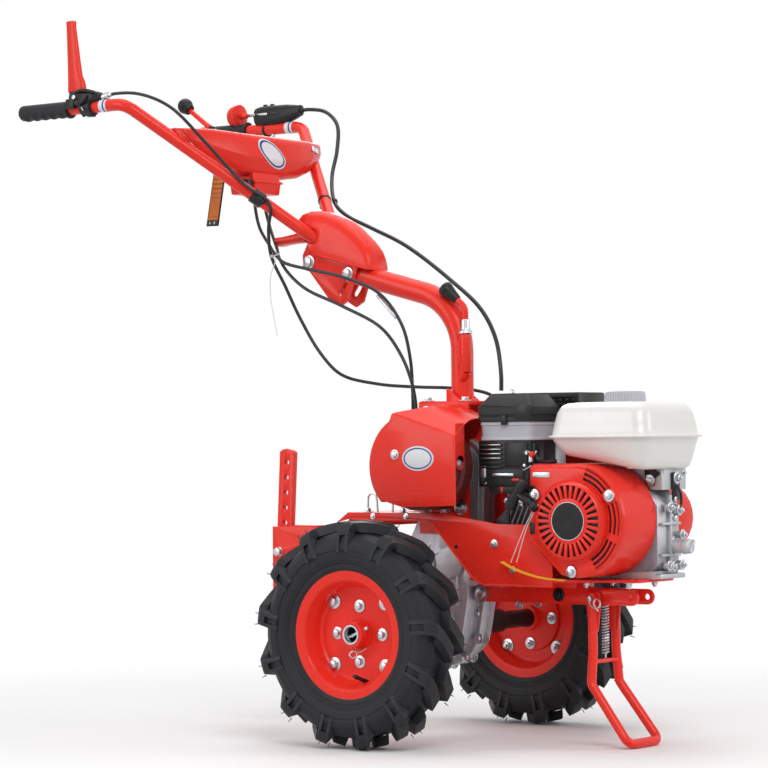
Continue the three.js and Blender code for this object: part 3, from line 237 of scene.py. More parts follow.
def flat_curve(name, outlines, thickness, bevel, matrix):
    """Filled flat shape of outer outline and holes, given a thickness, as a mesh."""
    data = bpy.data.curves.new(name, "CURVE")
    data.dimensions = "2D"
    data.fill_mode = "BOTH"
    data.extrude = (thickness / 2 - bevel) * MM
    data.bevel_depth = bevel * MM
    data.bevel_resolution = 1
    data.offset = -bevel * MM
    for outline in outlines:
        spline = data.splines.new("POLY")
        spline.points.add(len(outline) - 1)
        for point, (u, v) in zip(spline.points, outline):
            point.co = (u * MM, v * MM, 0, 1)
        spline.use_cyclic_u = True
    piece = bpy.data.objects.new(name, data)
    bpy.context.collection.objects.link(piece)
    piece.matrix_world = matrix
    take(piece)
    bpy.ops.object.convert(target="MESH")
    piece = settled(bpy.context.object, name)
    return smooth(outward(piece))


def plate(name, outline, x0, x1, holes=(), bevel=0.6):
    """Flat plate across X: outline and holes of (y, z)."""
    matrix = Matrix(((0, 0, 1, 0), (1, 0, 0, 0), (0, 1, 0, 0), (0, 0, 0, 1)))
    matrix.translation = at((x0 + x1) / 2, 0, 0)
    return flat_curve(name, [outline, *holes], abs(x1 - x0), bevel, matrix)


def slab(name, outline, z0, z1, holes=(), bevel=0.6):
    """Flat plate across Z: outline and holes of (x, y)."""
    return flat_curve(name, [outline, *holes], z1 - z0, bevel, Matrix.Translation(at(0, 0, (z0 + z1) / 2)))


def turned(name, profile, centre, side=1, steps=96):
    """Part turned about an axis along X: profile of (x, radius) from the centre."""
    piece = from_faces(
        name, [(x * side * MM, 0, r * MM) for x, r in profile], (),
        [(i, i + 1) for i in range(len(profile) - 1)])
    modified(
        piece, "SCREW", axis="X", angle=math.tau, steps=steps, render_steps=steps,
        use_merge_vertices=True, merge_threshold=1e-6)
    piece.location = at(*centre)
    return smooth(outward(settled(piece)))


def bent(points, radius, steps=10):
    """Straight runs through 3-D points, joined by round bends."""
    points = [Vector(p) for p in points]
    path = [points[0]]
    for before, p, after in zip(points, points[1:], points[2:]):
        a, b = (before - p).normalized(), (after - p).normalized()
        half = a.angle(b) / 2
        reach = min(radius / math.tan(half), 0.49 * (before - p).length, 0.49 * (after - p).length)
        centre = p + (a + b).normalized() * (reach / math.cos(half))
        start, end = p + a * reach - centre, p + b * reach - centre
        for k in range(steps + 1):
            path.append(centre + start.normalized().slerp(end.normalized(), k / steps) * start.length)
    path.append(points[-1])
    return path


def flowing(points, steps=8):
    """Smooth centripetal curve through given points."""
    points = [Vector(p) for p in points]
    padded = [points[0] * 2 - points[1], *points, points[-1] * 2 - points[-2]]
    path = []
    for p0, p1, p2, p3 in zip(padded, padded[1:], padded[2:], padded[3:]):
        knots = [0.0]
        for a, b in ((p0, p1), (p1, p2), (p2, p3)):
            knots.append(knots[-1] + math.sqrt((b - a).length))
        t0, t1, t2, t3 = knots
        for k in range(steps):
            t = t1 + (t2 - t1) * k / steps
            a1 = p0 * ((t1 - t) / (t1 - t0)) + p1 * ((t - t0) / (t1 - t0))
            a2 = p1 * ((t2 - t) / (t2 - t1)) + p2 * ((t - t1) / (t2 - t1))
            a3 = p2 * ((t3 - t) / (t3 - t2)) + p3 * ((t - t2) / (t3 - t2))
            b1 = a1 * ((t2 - t) / (t2 - t0)) + a2 * ((t - t0) / (t2 - t0))
            b2 = a2 * ((t3 - t) / (t3 - t1)) + a3 * ((t - t1) / (t3 - t1))
            path.append(b1 * ((t2 - t) / (t2 - t1)) + b2 * ((t - t1) / (t2 - t1)))
    path.append(points[-1])
    return path


def pipe(name, path, radius, sides=16):
    """Round bar or cable along a path of points in millimetres."""
    data = bpy.data.curves.new(name, "CURVE")
    data.dimensions = "3D"
    data.bevel_depth = radius * MM
    data.bevel_resolution = max(1, sides // 4 - 1)
    data.use_fill_caps = True
    spline = data.splines.new("POLY")
    spline.points.add(len(path) - 1)
    for point, place in zip(spline.points, path):
        point.co = (*at(*place), 1)
    piece = bpy.data.objects.new(name, data)
    bpy.context.collection.objects.link(piece)
    take(piece)
    bpy.ops.object.convert(target="MESH")
    piece = settled(bpy.context.object, name)
    return smooth(outward(piece), 50)


def joined(name, *pieces):
    take(pieces[0])
    for piece in pieces[1:]:
        piece.select_set(True)
    if len(pieces) > 1:
        bpy.ops.object.join()
    pieces[0].name = name
    return pieces[0]


def without(piece, *cutters):
    """Cuts the cutters out of the piece and removes them."""
    cutter = joined("cutter", *cutters)
    modified(piece, "BOOLEAN", operation="DIFFERENCE", solver="EXACT", object=cutter, use_self=True)
    bpy.data.objects.remove(cutter)
    return piece


def twin(piece, name, matrix):
    """Copy with its own mesh, moved by a matrix in the frame's metres."""
    copy = piece.copy()
    copy.data = piece.data.copy()
    copy.data.transform(matrix)
    if matrix.determinant() < 0:
        copy.data.flip_normals()
    copy.name = name
    bpy.context.collection.objects.link(copy)
    return copy


def dressed(node, bevel=0.8, segments=2):
    """Copy of a construction node with its facets merged and its edges rounded."""
    source = frame["nodes"][node]
    copy = bpy.data.objects.new(f"{node}_skin", source.data.copy())
    bpy.context.collection.objects.link(copy)
    outward(copy)
    modified(copy, "DECIMATE", decimate_type="DISSOLVE", angle_limit=math.radians(1))
    return bevelled(copy, bevel, segments, 40) if bevel else smooth(copy)


FLATS_PER_RADIUS = 1.732  # a hexagon's width across flats over its corner radius
WASHER_HEIGHT = 1.6


def hexagon_bolt(name, head, axis, across=13, height=6, washer=None, shank=0.0):
    """Hexagon head on a washer, pointing along axis from the seat at head."""
    n = Vector(axis).normalized()
    seat = Vector(head)
    top = WASHER_HEIGHT + height
    parts = [
        rod(name, seat, seat + n * WASHER_HEIGHT, washer or across * 0.95, bevel=0.3, vertices=28),
        rod(name, seat + n * WASHER_HEIGHT, seat + n * top, across / FLATS_PER_RADIUS, vertices=6, bevel=0.6)]
    if shank:
        parts.append(
            rod(name, seat + n * top, seat + n * (top + shank), across * 0.3, vertices=20, bevel=0.5))
    return joined(name, *parts)


def finished(piece, slot):
    """Gives a piece its slot and that slot's finish."""
    piece.data.materials.clear()
    piece.data.materials.append(FINISHES[slot])


def install(piece, body, slot, *nodes):
    """Rides a piece on its body, gives it its finish and says what it stands for."""
    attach(piece, body)
    finished(piece, slot)
    if nodes:
        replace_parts(piece, *nodes)
    return piece


# ---------------------------------------------------------------- finishes
class Value:
    """A shader socket that takes part in Python sums."""

    def __init__(self, shader, socket):
        self.shader, self.socket = shader, socket

    def sum(self, operation, *others):
        return self.shader.node("ShaderNodeMath", {"operation": operation}, self, *others)

    def __add__(self, other):
        return self.sum("ADD", other)

    def __sub__(self, other):
        return self.sum("SUBTRACT", other)

    def __mul__(self, other):
        return self.sum("MULTIPLY", other)

    def __rsub__(self, other):
        return self.shader.node("ShaderNodeMath", {"operation": "SUBTRACT"}, other, self)

    __radd__ = __add__
    __rmul__ = __mul__

    def above(self, edge, width=0.05):
        """0 below edge, 1 above it, with a soft step."""
        return self.shader.node(
            "ShaderNodeMapRange", {"interpolation_type": "SMOOTHSTEP"}, self, edge - width, edge + width)


class Shader:
    """A material under construction."""

    def __init__(self, name):
        self.material = bpy.data.materials.new(name)
        self.material.use_nodes = True
        self.tree = self.material.node_tree
        self.surface = self.tree.nodes["Principled BSDF"]
        self.place = self.node("ShaderNodeTexCoord", output="Object")

    def node(self, kind, settings=None, *inputs, output=0, **named):
        """Adds a node: settings first, then the values or links of its sockets."""
        node = self.tree.nodes.new(kind)
        for key, value in (settings or {}).items():
            if key == "stops":
                for stop, (position, color) in zip(node.color_ramp.elements, value):
                    stop.position, stop.color = position, (*color, 1)
            else:
                setattr(node, key, value)
        for key, value in [*enumerate(inputs), *named.items()]:
            socket = node.inputs[key if isinstance(key, int) else key.replace("_", " ")]
            if isinstance(value, Value):
                self.tree.links.new(value.socket, socket)
            else:
                socket.default_value = value
        return Value(self, node.outputs[output])

    def noise(self, scale, detail, roughness=0.55):
        return self.node(
            "ShaderNodeTexNoise", None, Vector=self.place, Scale=scale, Detail=detail, Roughness=roughness)

    def mix(self, factor, first, second):
        node = self.tree.nodes.new("ShaderNodeMix")
        node.data_type = "RGBA"
        for index, value in ((0, factor), (6, first), (7, second)):
            if isinstance(value, Value):
                self.tree.links.new(value.socket, node.inputs[index])
            else:
                node.inputs[index].default_value = value if index == 0 else (*value, 1)
        return Value(self, node.outputs[2])

    def edges(self, edge=0.53, width=0.03):
        """1 along sharp outer edges."""
        return self.node("ShaderNodeNewGeometry", output="Pointiness").above(edge, width)

    def bump(self, height, strength, distance):
        return self.node("ShaderNodeBump", None, Strength=strength, Distance=distance, Height=height)

    def done(self, **sockets):
        for key, value in sockets.items():
            socket = self.surface.inputs[key.replace("_", " ")]
            if isinstance(value, Value):
                self.tree.links.new(value.socket, socket)
            else:
                socket.default_value = (*value, 1) if isinstance(value, tuple) else value
        return self.material


def enamel(name, color, deep, dust=0.05):
    """Brushed-on gloss paint: slight orange peel, softer and paler where it is handled, and painted paler
    along sharp edges as a highlight.
    """
    shader = Shader(name)
    cloud = shader.noise(14, 4)
    handled = shader.noise(55, 6, 0.65).above(0.62, 0.12)
    base = shader.mix(cloud * 0.55, color, deep)
    pale = tuple(min(1, c * 1.15 + 0.03) for c in color)
    # paler where handled (real wear) and along sharp edges, where the paleness is a painted highlight
    wear_and_edge_highlight = shader.mix(handled * dust + shader.edges(0.56, 0.04) * 0.18, base, pale)
    peel = shader.noise(520, 2) * 0.6 + shader.noise(60, 2) * 0.4
    return shader.done(
        Base_Color=wear_and_edge_highlight, Roughness=0.2 + handled * 0.12 + cloud * 0.08,
        Coat_Weight=0.07, Coat_Roughness=0.06, Specular_IOR_Level=0.2,
        Normal=shader.bump(peel, 0.09, 0.001))


def moulded(name, color, roughness, grain=900, strength=0.2, metallic=0.0, deep=None):
    """Moulded plastic with a fine grain; its sharp edges are smoother from rubbing and painted lighter as a
    highlight.
    """
    shader = Shader(name)
    deep = deep or tuple(c * 0.7 for c in color)
    cloud = shader.noise(25, 4)
    # sharp edges: lower roughness for real rubbing, and a lighter colour painted on as a highlight
    rubbed_and_highlit_edges = shader.edges(0.55, 0.05)
    base = shader.mix(cloud * 0.7, color, deep)
    base = shader.mix(rubbed_and_highlit_edges * 0.25, base, tuple(min(1, c * 1.6 + 0.03) for c in color))
    return shader.done(
        Base_Color=base, Roughness=roughness + cloud * 0.12 - rubbed_and_highlit_edges * 0.08, Metallic=metallic,
        Specular_IOR_Level=0.22,
        Normal=shader.bump(shader.noise(grain, 3), strength, 0.0004))


def tyre_rubber():
    """Black rubber with dull grey bloom, fine moulding lines and a bluish sheen painted along sharp edges."""
    shader = Shader("tyre_rubber")
    bloom = shader.noise(18, 6, 0.6).above(0.55, 0.2)
    fine = shader.noise(260, 4)
    base = shader.mix(bloom * 0.5, (0.014, 0.0145, 0.017), (0.032, 0.034, 0.04))
    # bluish grey painted on sharp edges as a sheen
    base = shader.mix(shader.edges(0.54, 0.05) * 0.4, base, (0.06, 0.062, 0.07))
    return shader.done(
        Base_Color=base, Roughness=0.44 + bloom * 0.2, Specular_IOR_Level=0.2,
        Normal=shader.bump(fine * 0.7 + shader.noise(45, 3) * 0.5, 0.22, 0.0012))


def cast_metal(name, bright, dark):
    """Sand-cast aluminium: pebbled skin, darker in random stains, with a highlight painted bright on the
    corners.
    """
    shader = Shader(name)
    pebble = shader.noise(620, 4, 0.6)
    stain = shader.noise(30, 5, 0.6).above(0.5, 0.2)
    base = shader.mix(stain * 0.6, bright, dark)
    # corners painted bright as a highlight
    base = shader.mix(shader.edges() * 0.6, base, (0.66, 0.66, 0.68))
    return shader.done(
        Base_Color=base, Metallic=0.75, Roughness=0.4 + stain * 0.16 + pebble * 0.1,
        Normal=shader.bump(pebble, 0.35, 0.0006))


def zinc_plate():
    shader = Shader("zinc_plate")
    spangle = shader.noise(140, 3)
    base = shader.mix(spangle, (0.62, 0.64, 0.67), (0.44, 0.46, 0.5))
    return shader.done(
        Base_Color=base, Metallic=0.95, Roughness=0.22 + spangle * 0.16,
        Normal=shader.bump(shader.noise(900, 2), 0.1, 0.0003))


def tank_enamel():
    """Off-white tank: gloss, a little uneven, with sparse darker specks."""
    shader = Shader("tank_enamel")
    cloud = shader.noise(10, 5)
    specks = shader.noise(150, 5, 0.7).above(0.72, 0.05)
    base = shader.mix(cloud * 0.5, (0.82, 0.805, 0.78), (0.73, 0.71, 0.685))
    base = shader.mix(specks * 0.25, base, (0.5, 0.47, 0.42))
    return shader.done(
        Base_Color=base, Roughness=0.22 + cloud * 0.14, Coat_Weight=0.3, Coat_Roughness=0.08,
        Normal=shader.bump(shader.noise(380, 2), 0.06, 0.001))


def ribbed_grip():
    shader = Shader("ribbed_grip")
    shine = shader.noise(40, 4)
    fine = shader.noise(700, 3)
    base = shader.mix(shine * 0.8, (0.012, 0.0125, 0.014), (0.03, 0.031, 0.036))
    return shader.done(
        Base_Color=base, Roughness=0.5 + shine * 0.15, Specular_IOR_Level=0.22,
        Normal=shader.bump(fine, 0.25, 0.0005))


def cable_sheath():
    shader = Shader("cable_sheath")
    streak = shader.noise(90, 3)
    base = shader.mix(streak * 0.8, (0.012, 0.013, 0.018), (0.035, 0.037, 0.05))
    return shader.done(
        Base_Color=base, Roughness=0.26 + streak * 0.14, Coat_Weight=0.08, Specular_IOR_Level=0.25,
        Normal=shader.bump(shader.noise(500, 2), 0.08, 0.0004))


FINISHES = {
    "red_paint": enamel("red_enamel", (0.87, 0.036, 0.02), (0.74, 0.02, 0.012)),
    "maroon_paint": enamel("maroon_enamel", (0.16, 0.028, 0.024), (0.09, 0.014, 0.014)),
    "red_plastic": enamel("red_moulding", (0.84, 0.034, 0.02), (0.7, 0.02, 0.012)),
    "tyre": tyre_rubber(),
    "casting": cast_metal("cast_metal", (0.42, 0.42, 0.45), (0.24, 0.24, 0.265)),
    "zinc": zinc_plate(),
    "tank_white": tank_enamel(),
    "dark_steel": moulded("black_steel", (0.02, 0.02, 0.022), 0.28, 500, 0.1, 0.3),
    "black_sheet": moulded("black_sheet", (0.016, 0.016, 0.018), 0.3, 700, 0.12, 0.2),
    "black_plastic": moulded("black_moulding", (0.014, 0.0142, 0.016), 0.3),
    "cap_grey": moulded("grey_moulding", (0.5, 0.5, 0.55), 0.34, 600, 0.12),
    "grip_rubber": ribbed_grip(),
    "cable_black": cable_sheath(),
    "amber_plastic": moulded("amber_moulding", (0.62, 0.17, 0.02), 0.3, 700, 0.15, deep=(0.42, 0.09, 0.012)),
    }
ENGINE_METAL = cast_metal("engine_metal", (0.2, 0.205, 0.225), (0.09, 0.093, 0.105))
DIAL = moulded("pale_disc", (0.78, 0.79, 0.82), 0.3, 500, 0.06, deep=(0.7, 0.71, 0.74))
DIAL_EDGE = moulded("blue_rim", (0.02, 0.05, 0.3), 0.3, 500, 0.06)
TAG_YELLOW = moulded("tag_card", (0.82, 0.5, 0.03), 0.45, 300, 0.15, deep=(0.65, 0.36, 0.02))


def refinished(piece, material):
    """Gives a piece a finish that its slot doesn't name."""
    piece.data.materials[0] = material
    return piece


# ---------------------------------------------------------------- wheels
TYRE_RADIUS = -corners("tyre_left")[0].z
TYRE_HALF = (corners("tyre_left")[1].x - corners("tyre_left")[0].x) / 2
RIM_HALF = (corners("rim_left")[1].x - corners("rim_left")[0].x) / 2
RIM_RADIUS = corners("rim_left")[1].z
CARCASS_RADIUS = TYRE_RADIUS - 19
LUG_COUNT = 13
LUG_WIDTH = 25


def tyre_profile():
    """Half section of the carcass, from inner bead round to outer bead."""
    half = TYRE_HALF - 4
    outer = [
        (RIM_HALF - 1, RIM_RADIUS - 6), (RIM_HALF + 3, RIM_RADIUS + 2.5), (half - 8, RIM_RADIUS + 9),
        (half - 4, RIM_RADIUS + 12), (half - 4.6, RIM_RADIUS + 14), (half - 2, RIM_RADIUS + 16),
        (half, RIM_RADIUS + 30), (half - 1, RIM_RADIUS + 32), (half + 1.5, RIM_RADIUS + 33.5),
        (half + 0.4, RIM_RADIUS + 46), (half - 7, CARCASS_RADIUS - 9), (half - 20, CARCASS_RADIUS - 1.5),
        (0, CARCASS_RADIUS)]
    outer = rounded(outer, 6, closed=False, steps=3)
    inner = [(-x, r) for x, r in reversed(outer[:-1])]
    bead = [(-(RIM_HALF - 4), RIM_RADIUS - 14), (RIM_HALF - 4, RIM_RADIUS - 14)]
    return [bead[1], *outer, *inner, bead[0], bead[1]]


# A lug runs along this line: distance out from the middle plane, radius and turn in degrees.
LUG_LINE = [
    (TYRE_HALF - 2, RIM_RADIUS + 30, 0), (TYRE_HALF - 1.2, RIM_RADIUS + 48, 0.2),
    (TYRE_HALF - 1.5, CARCASS_RADIUS - 8, 0.6), (TYRE_HALF - 4, TYRE_RADIUS - 12, 1.2),
    (TYRE_HALF - 11, TYRE_RADIUS - 4, 2.6), (TYRE_HALF - 26, TYRE_RADIUS - 1.4, 6.2),
    (10, TYRE_RADIUS - 0.6, 11), (-5, TYRE_RADIUS - 0.6, 15.5)]
LUG_DEPTH = 17


def lug(name, centre, outer):
    """Bar of the tread: a flat block with a slot in its outer end, laid over the carcass.

    Across the block is x, along it y; both are turned into the tyre's own directions."""
    deselect()
    bpy.ops.mesh.primitive_cube_add(size=1)
    piece = bpy.context.object
    take(piece)
    bpy.ops.object.mode_set(mode="EDIT")
    bpy.ops.mesh.select_all(action="SELECT")
    bpy.ops.transform.translate(value=(0, 0.5, 0.5))
    sheet = bmesh.from_edit_mesh(piece.data)
    for axis, cuts in (((0, 1, 0), [i / 20 for i in range(1, 20)]), ((1, 0, 0), [-0.24, 0.24])):
        for place in cuts:
            bmesh.ops.bisect_plane(
                sheet, geom=sheet.verts[:] + sheet.edges[:] + sheet.faces[:],
                plane_co=[c * place for c in axis], plane_no=axis)
    slot = [
        f for f in sheet.faces if f.normal.z > 0.9 and abs(f.calc_center_median().x) < 0.2
        and f.calc_center_median().y < 0.3]
    sunk = bmesh.ops.extrude_face_region(sheet, geom=slot)
    for element in sunk["geom"]:
        if isinstance(element, bmesh.types.BMVert):
            element.co.z -= 0.42
    bmesh.ops.delete(sheet, geom=slot, context="FACES")
    bmesh.update_edit_mesh(piece.data)
    bpy.ops.object.mode_set(mode="OBJECT")
    line = flowing([Vector(p) for p in LUG_LINE], 8)
    for vertex in piece.data.vertices:
        across, along, up = vertex.co
        place = min(max(along, 0), 1) * (len(line) - 1)
        low = min(int(place), len(line) - 2)
        x, r, turn = line[low].lerp(line[low + 1], place - low)
        x2, r2, _ = line[low + 1] - line[low]
        normal = Vector((r2, -x2)).normalized()
        depth = (1 - up) * LUG_DEPTH * (0.28 + 0.72 * min(1, along * 2.4))
        x, r = x - normal.x * depth, r - normal.y * depth
        width = LUG_WIDTH * (1 + 0.3 * (1 - up)) * (1.0 if along < 0.45 else 1.0 + 0.25 * (along - 0.45))
        angle = math.radians(turn * outer) + across * width / r
        vertex.co = (x * outer * MM, r * math.sin(angle) * MM, r * math.cos(angle) * MM)
    piece.location = at(*centre)
    settled(piece, name)
    outward(piece)
    return bevelled(piece, 1.2, 1, 30)


def hair(name, centre, outer, angle, shift):
    """Thin moulding hair that stands off the end of a lug."""
    direction = Vector((0, math.sin(angle), math.cos(angle)))
    foot = Vector(centre) + Vector((outer * (TYRE_HALF - 12), 0, 0)) + direction * (TYRE_RADIUS - 8)
    side = Vector((0, math.cos(angle), -math.sin(angle))) * shift
    tip = foot + direction * 8 + Vector((outer * 5, 0, 0)) + side * 0.2
    return rod(name, foot + side, tip + side, 1.1, 0.5, vertices=6)


def tyre(name, side):
    centre = (side * WHEEL_X, 0, 0)
    carcass = turned(f"tyre_{name}_carcass", tyre_profile(), centre, 1, 128)
    parts = [carcass]
    for outer in (-1, 1):
        first = lug("lug", centre, outer)
        offset = 0 if outer < 0 else math.pi / LUG_COUNT
        for i in range(LUG_COUNT):
            turn = offset + i * math.tau / LUG_COUNT
            parts.append(twin(first, "lug", turn_about(centre, -turn, "X", centre)))
            parts += [hair("hair", centre, outer, turn, shift) for shift in (-9, 9)]
        bpy.data.objects.remove(first)
    whole = joined(f"tyre_{name}_skin", *parts)
    return install(whole, f"wheel_{name}", "tyre", f"tyre_{name}")


DISC_X = -6  # wheel disc, inboard of the tyre's middle
HUB_RADIUS = 24
OUTER_BOLTS = [(80.5, 45 + 90 * i) for i in range(4)]
INNER_BOLTS = [(50, 90 * i) for i in range(4)]


def rim(name, side):
    half = RIM_HALF
    profile = rounded([
        (DISC_X, HUB_RADIUS + 2), (DISC_X, 83), (DISC_X - 2, 87), (-18, 88.6), (-half + 3, 97),
        (-half + 1, 98), (-half, RIM_RADIUS - 2), (-half + 1.5, RIM_RADIUS), (-half + 3, RIM_RADIUS - 2),
        (-half + 3.5, 103), (-18, 92), (18, 92), (half - 3.5, 103), (half - 3, RIM_RADIUS - 2),
        (half - 1.5, RIM_RADIUS), (half, RIM_RADIUS - 2), (half - 1, 100), (half - 4, 96.5), (18, 88.8),
        (DISC_X + 8, 87.6), (DISC_X + 3.5, 83), (DISC_X + 3.2, HUB_RADIUS + 2)], 2.5, closed=False, steps=3)
    shell = turned(f"rim_{name}_skin", [*profile, profile[0]], (side * WHEEL_X, 0, 0), side, 128)
    return install(shell, f"wheel_{name}", "red_paint", f"rim_{name}")


def hub(name, side):
    low, high = corners(f"hub_{name}")
    centre = (side * WHEEL_X, 0, 0)
    inner, outer = DISC_X - 6.3, (high.x if side > 0 else -low.x) - WHEEL_X
    body = turned(f"hub_{name}_skin", rounded([
        (inner - 14, 17.6), (inner - 14, HUB_RADIUS), (inner, HUB_RADIUS), (inner, 64), (inner + 6, 64),
        (inner + 6, HUB_RADIUS + 1), (DISC_X + 5, HUB_RADIUS + 3), (DISC_X + 9, HUB_RADIUS),
        (outer, HUB_RADIUS), (outer, 17.8), (inner - 14, 17.6)], 1.2, closed=False, steps=3), centre, side,
        72)
    install(body, f"wheel_{name}", "red_paint", f"hub_{name}")
    bush = turned(f"hub_{name}_bush", [
        (outer - 10, 13.5), (outer - 10, 17.6), (outer + 0.8, 17.6), (outer + 0.8, 14.5),
        (outer - 1, 13.5), (outer - 10, 13.5)], centre, side, 48)
    install(bush, f"wheel_{name}", "zinc")


def wheel_fixings(name, side):
    seat = side * (WHEEL_X + DISC_X + 3.4)
    heads = []
    for radius, degrees in OUTER_BOLTS + INNER_BOLTS:
        angle = math.radians(degrees)
        place = (seat, radius * math.cos(angle), radius * math.sin(angle))
        across = 14 if radius > 60 else 12
        heads.append(hexagon_bolt("bolt", place, (side, 0, 0), across, 7))
        back = (side * (WHEEL_X + DISC_X - (0.2 if radius > 64 else 6.5)), place[1], place[2])
        heads.append(hexagon_bolt("nut", back, (-side, 0, 0), across, 7, shank=5))
    install(joined(f"wheel_{name}_bolts", *heads), f"wheel_{name}", "zinc")
    angle = math.radians(-104 if side < 0 else -76)
    foot = Vector((side * (WHEEL_X + 4), 88 * math.cos(angle), 88 * math.sin(angle)))
    tip = foot + Vector((side * 27, -10 * math.cos(angle), -10 * math.sin(angle)))
    valve = joined(
        f"wheel_{name}_valve", rod("stem", foot, tip, 4.4, 3.2, 20, 0.6),
        rod("cap", tip, tip + (tip - foot) * 0.35, 4.2, 3.8, 16, 0.8))
    install(valve, f"wheel_{name}", "black_plastic")


def axle_pin(name, side):
    """Cross pin through the hub with its spring clip."""
    outer = abs(middle(f"hub_{name}").x) + 12
    pin = rod("pin", (side * outer, -29, 13), (side * outer, 27, -12), 3.6, vertices=20, bevel=0.5)
    clip = pipe("clip", flowing([
        (side * outer, -24, -24), (side * (outer + 2), -12, -31), (side * (outer + 4), 2, -30),
        (side * (outer + 6), 9, -36), (side * (outer + 6), 2, -42), (side * (outer + 4), -6, -37),
        (side * (outer + 3), -2, -31), (side * (outer + 1), 8, -24)], 5), 1.3, 8)
    return install(joined(f"hub_{name}_pin", pin, clip), f"wheel_{name}", "zinc")


def axle(name, side):
    low, high = corners(f"axle_shaft_{name}")
    inner, outer = (low.x, high.x) if side > 0 else (high.x, low.x)
    radius = high.z
    shaft = turned(f"axle_{name}_skin", rounded([
        (abs(inner), 0), (abs(inner), radius), (abs(outer) - 0.5, radius), (abs(outer) - 0.5, radius - 3),
        (abs(outer) - 18, radius - 5), (abs(outer) - 18, 0)], 1.5, closed=False), (0, 0, 0), side, 48)
    sleeve = turned("sleeve", rounded(
        [(abs(inner) + 6, radius), (abs(inner) + 6, 23), (abs(inner) + 100, 23),
            (abs(inner) + 100, radius)], 2, closed=False), (0, 0, 0), side, 48)
    return install(
        joined(f"axle_{name}_skin", shaft, sleeve), f"wheel_{name}", "dark_steel", f"axle_shaft_{name}")


for side_name, side_sign in SIDES.items():
    tyre(side_name, side_sign)
    rim(side_name, side_sign)
    hub(side_name, side_sign)
    wheel_fixings(side_name, side_sign)
    axle_pin(side_name, side_sign)
    axle(side_name, side_sign)


# ---------------------------------------------------------------- chassis, gearbox and stand
def star_bolt(name, place, axis, radius=5):
    """Small pan head in a toothed washer."""
    n, seat = Vector(axis).normalized(), Vector(place)
    return joined(
        name, rod(name, seat, seat + n * 1.4, radius * 1.5, vertices=14, bevel=0.4),
        rod(name, seat + n * 1.4, seat + n * (1.4 + radius * 0.6), radius, radius * 0.8, 24, 0.6))


def side_plate(name, side):
    """Folded side sheet with a rolled lower edge, a top flange and its bolts."""
    low, high = corners(f"chassis_side_{name}")
    outer = side * max(abs(low.x), abs(high.x))
    inner = outer - side * 3
    skin = dressed(f"chassis_side_{name}", 1.0)
    lip = pipe("lip", bent([
        (outer - side * 1.5, high.y - 36, high.z - 13), (outer - side * 1.5, -33, high.z - 13),
        (outer - side * 1.5, -124, 99), (outer - side * 1.5, -146, 84), (outer - side * 1.5, -298, 84)],
        30, 6), 2.6, 12)
    install(joined(f"chassis_{name}_skin", skin, lip), "machine", "red_paint", f"chassis_side_{name}")
    heads = [
        star_bolt("bolt", (outer, y, z), (side, 0, 0), r) for y, z, r in
        ((-176, 158, 5.5), (96, 206, 4), (20, 206, 4), (-216, 112, 4.5))]
    # a thin dark disc on the plate paints the shade inside a hole
    hole = rod("hole", (outer + side * 0.2, -92, 152), (outer + side * 0.5, -92, 152), 3.5, vertices=20)
    install(joined(f"chassis_{name}_bolts", *heads), "machine", "zinc")
    install(hole, "machine", "dark_steel")
    angle = joined(f"chassis_{name}_notch", plate(
        "notch", rounded([(-206, 190), (-180, 190), (-180, 204), (-190, 212),
            (-206, 230)], 3), inner - side * 5, inner - side * 1, bevel=0.4))
    install(angle, "machine", "black_sheet")


def deck_details():
    skin = dressed("rear_deck", 0.8)
    low, high = corners("rear_deck")
    folds = [
        block("fold", low.x, high.x, high.y - 3, high.y, high.z - 20, high.z, 1.0),
        block("fold", low.x + 2, high.x - 2, 77, 80, high.z - 24, high.z - 3, 0.8)]
    install(joined("rear_deck_skin", skin, *folds), "machine", "red_paint", "rear_deck")
    heads = [
        hexagon_bolt("bolt", (x, y, high.z), (0, 0, 1), 10, 5, shank=2)
        for x, y in ((-92, 120), (-92, 40), (92, 120), (92, 40), (-70, -40), (70, -40))]
    install(joined("rear_deck_bolts", *heads), "machine", "zinc")
    loops = [pipe("loop", bent([
        (-62, y - 12, high.z - 2), (-62, y - 8, high.z + 34), (-62, y + 10, high.z + 34),
        (-62, y + 12, high.z - 2)], 9), 2.0, 12) for y in (132, 74)]
    install(joined("deck_loops", *loops), "machine", "zinc")


def platform_details():
    low, high = corners("engine_platform")
    skin = dressed("engine_platform", 0.9)
    install(skin, "machine", "red_paint", "engine_platform")
    heads = [
        hexagon_bolt("bolt", (x, y, high.z), (0, 0, 1), 11, 6, shank=3)
        for x, y in ((-84, -276), (84, -276), (84, -140), (-84, -140))]
    nuts = [
        hexagon_bolt("nut", (x, y, low.z if abs(x) < 30 else high.z - 5), (0, 0, -1), 11, 6, shank=4)
        for x, y in ((-44, -420), (44, -420), (44, -330), (-44, -330))]
    install(joined("platform_bolts", *heads, *nuts), "machine", "zinc")


def front_bar(name, side):
    low, high = corners(f"front_bar_{name}")
    outer = side * max(abs(low.x), abs(high.x))
    middle_z = (low.z + high.z) / 2
    end = (high.z - low.z) / 2
    outline = [(high.y, low.z), (high.y, high.z)] + [
        (low.y + end + end * math.cos(a), middle_z + end * math.sin(a))
        for a in (math.pi / 2 + math.pi * i / 16 for i in range(17))]
    skin = plate("bar", outline, low.x, high.x, [ring(low.y + end, middle_z, 5.5), ring(-339, 60, 5.4)], 1.1)
    install(skin, "machine", "red_paint", f"front_bar_{name}").name = f"front_bar_{name}_skin"
    heads = [
        hexagon_bolt("bolt", (outer, -92, middle_z), (side, 0, 0), 17, 8),
        hexagon_bolt("bolt", (outer, -176, middle_z - 18), (side, 0, 0), 8, 3)]
    install(joined(f"front_bar_{name}_bolt", *heads), "machine", "zinc")
    dark = hexagon_bolt(f"front_bar_{name}_stud", (outer, -262, middle_z + 3), (side, 0, 0), 13, 6, shank=4)
    install(dark, "machine", "dark_steel")


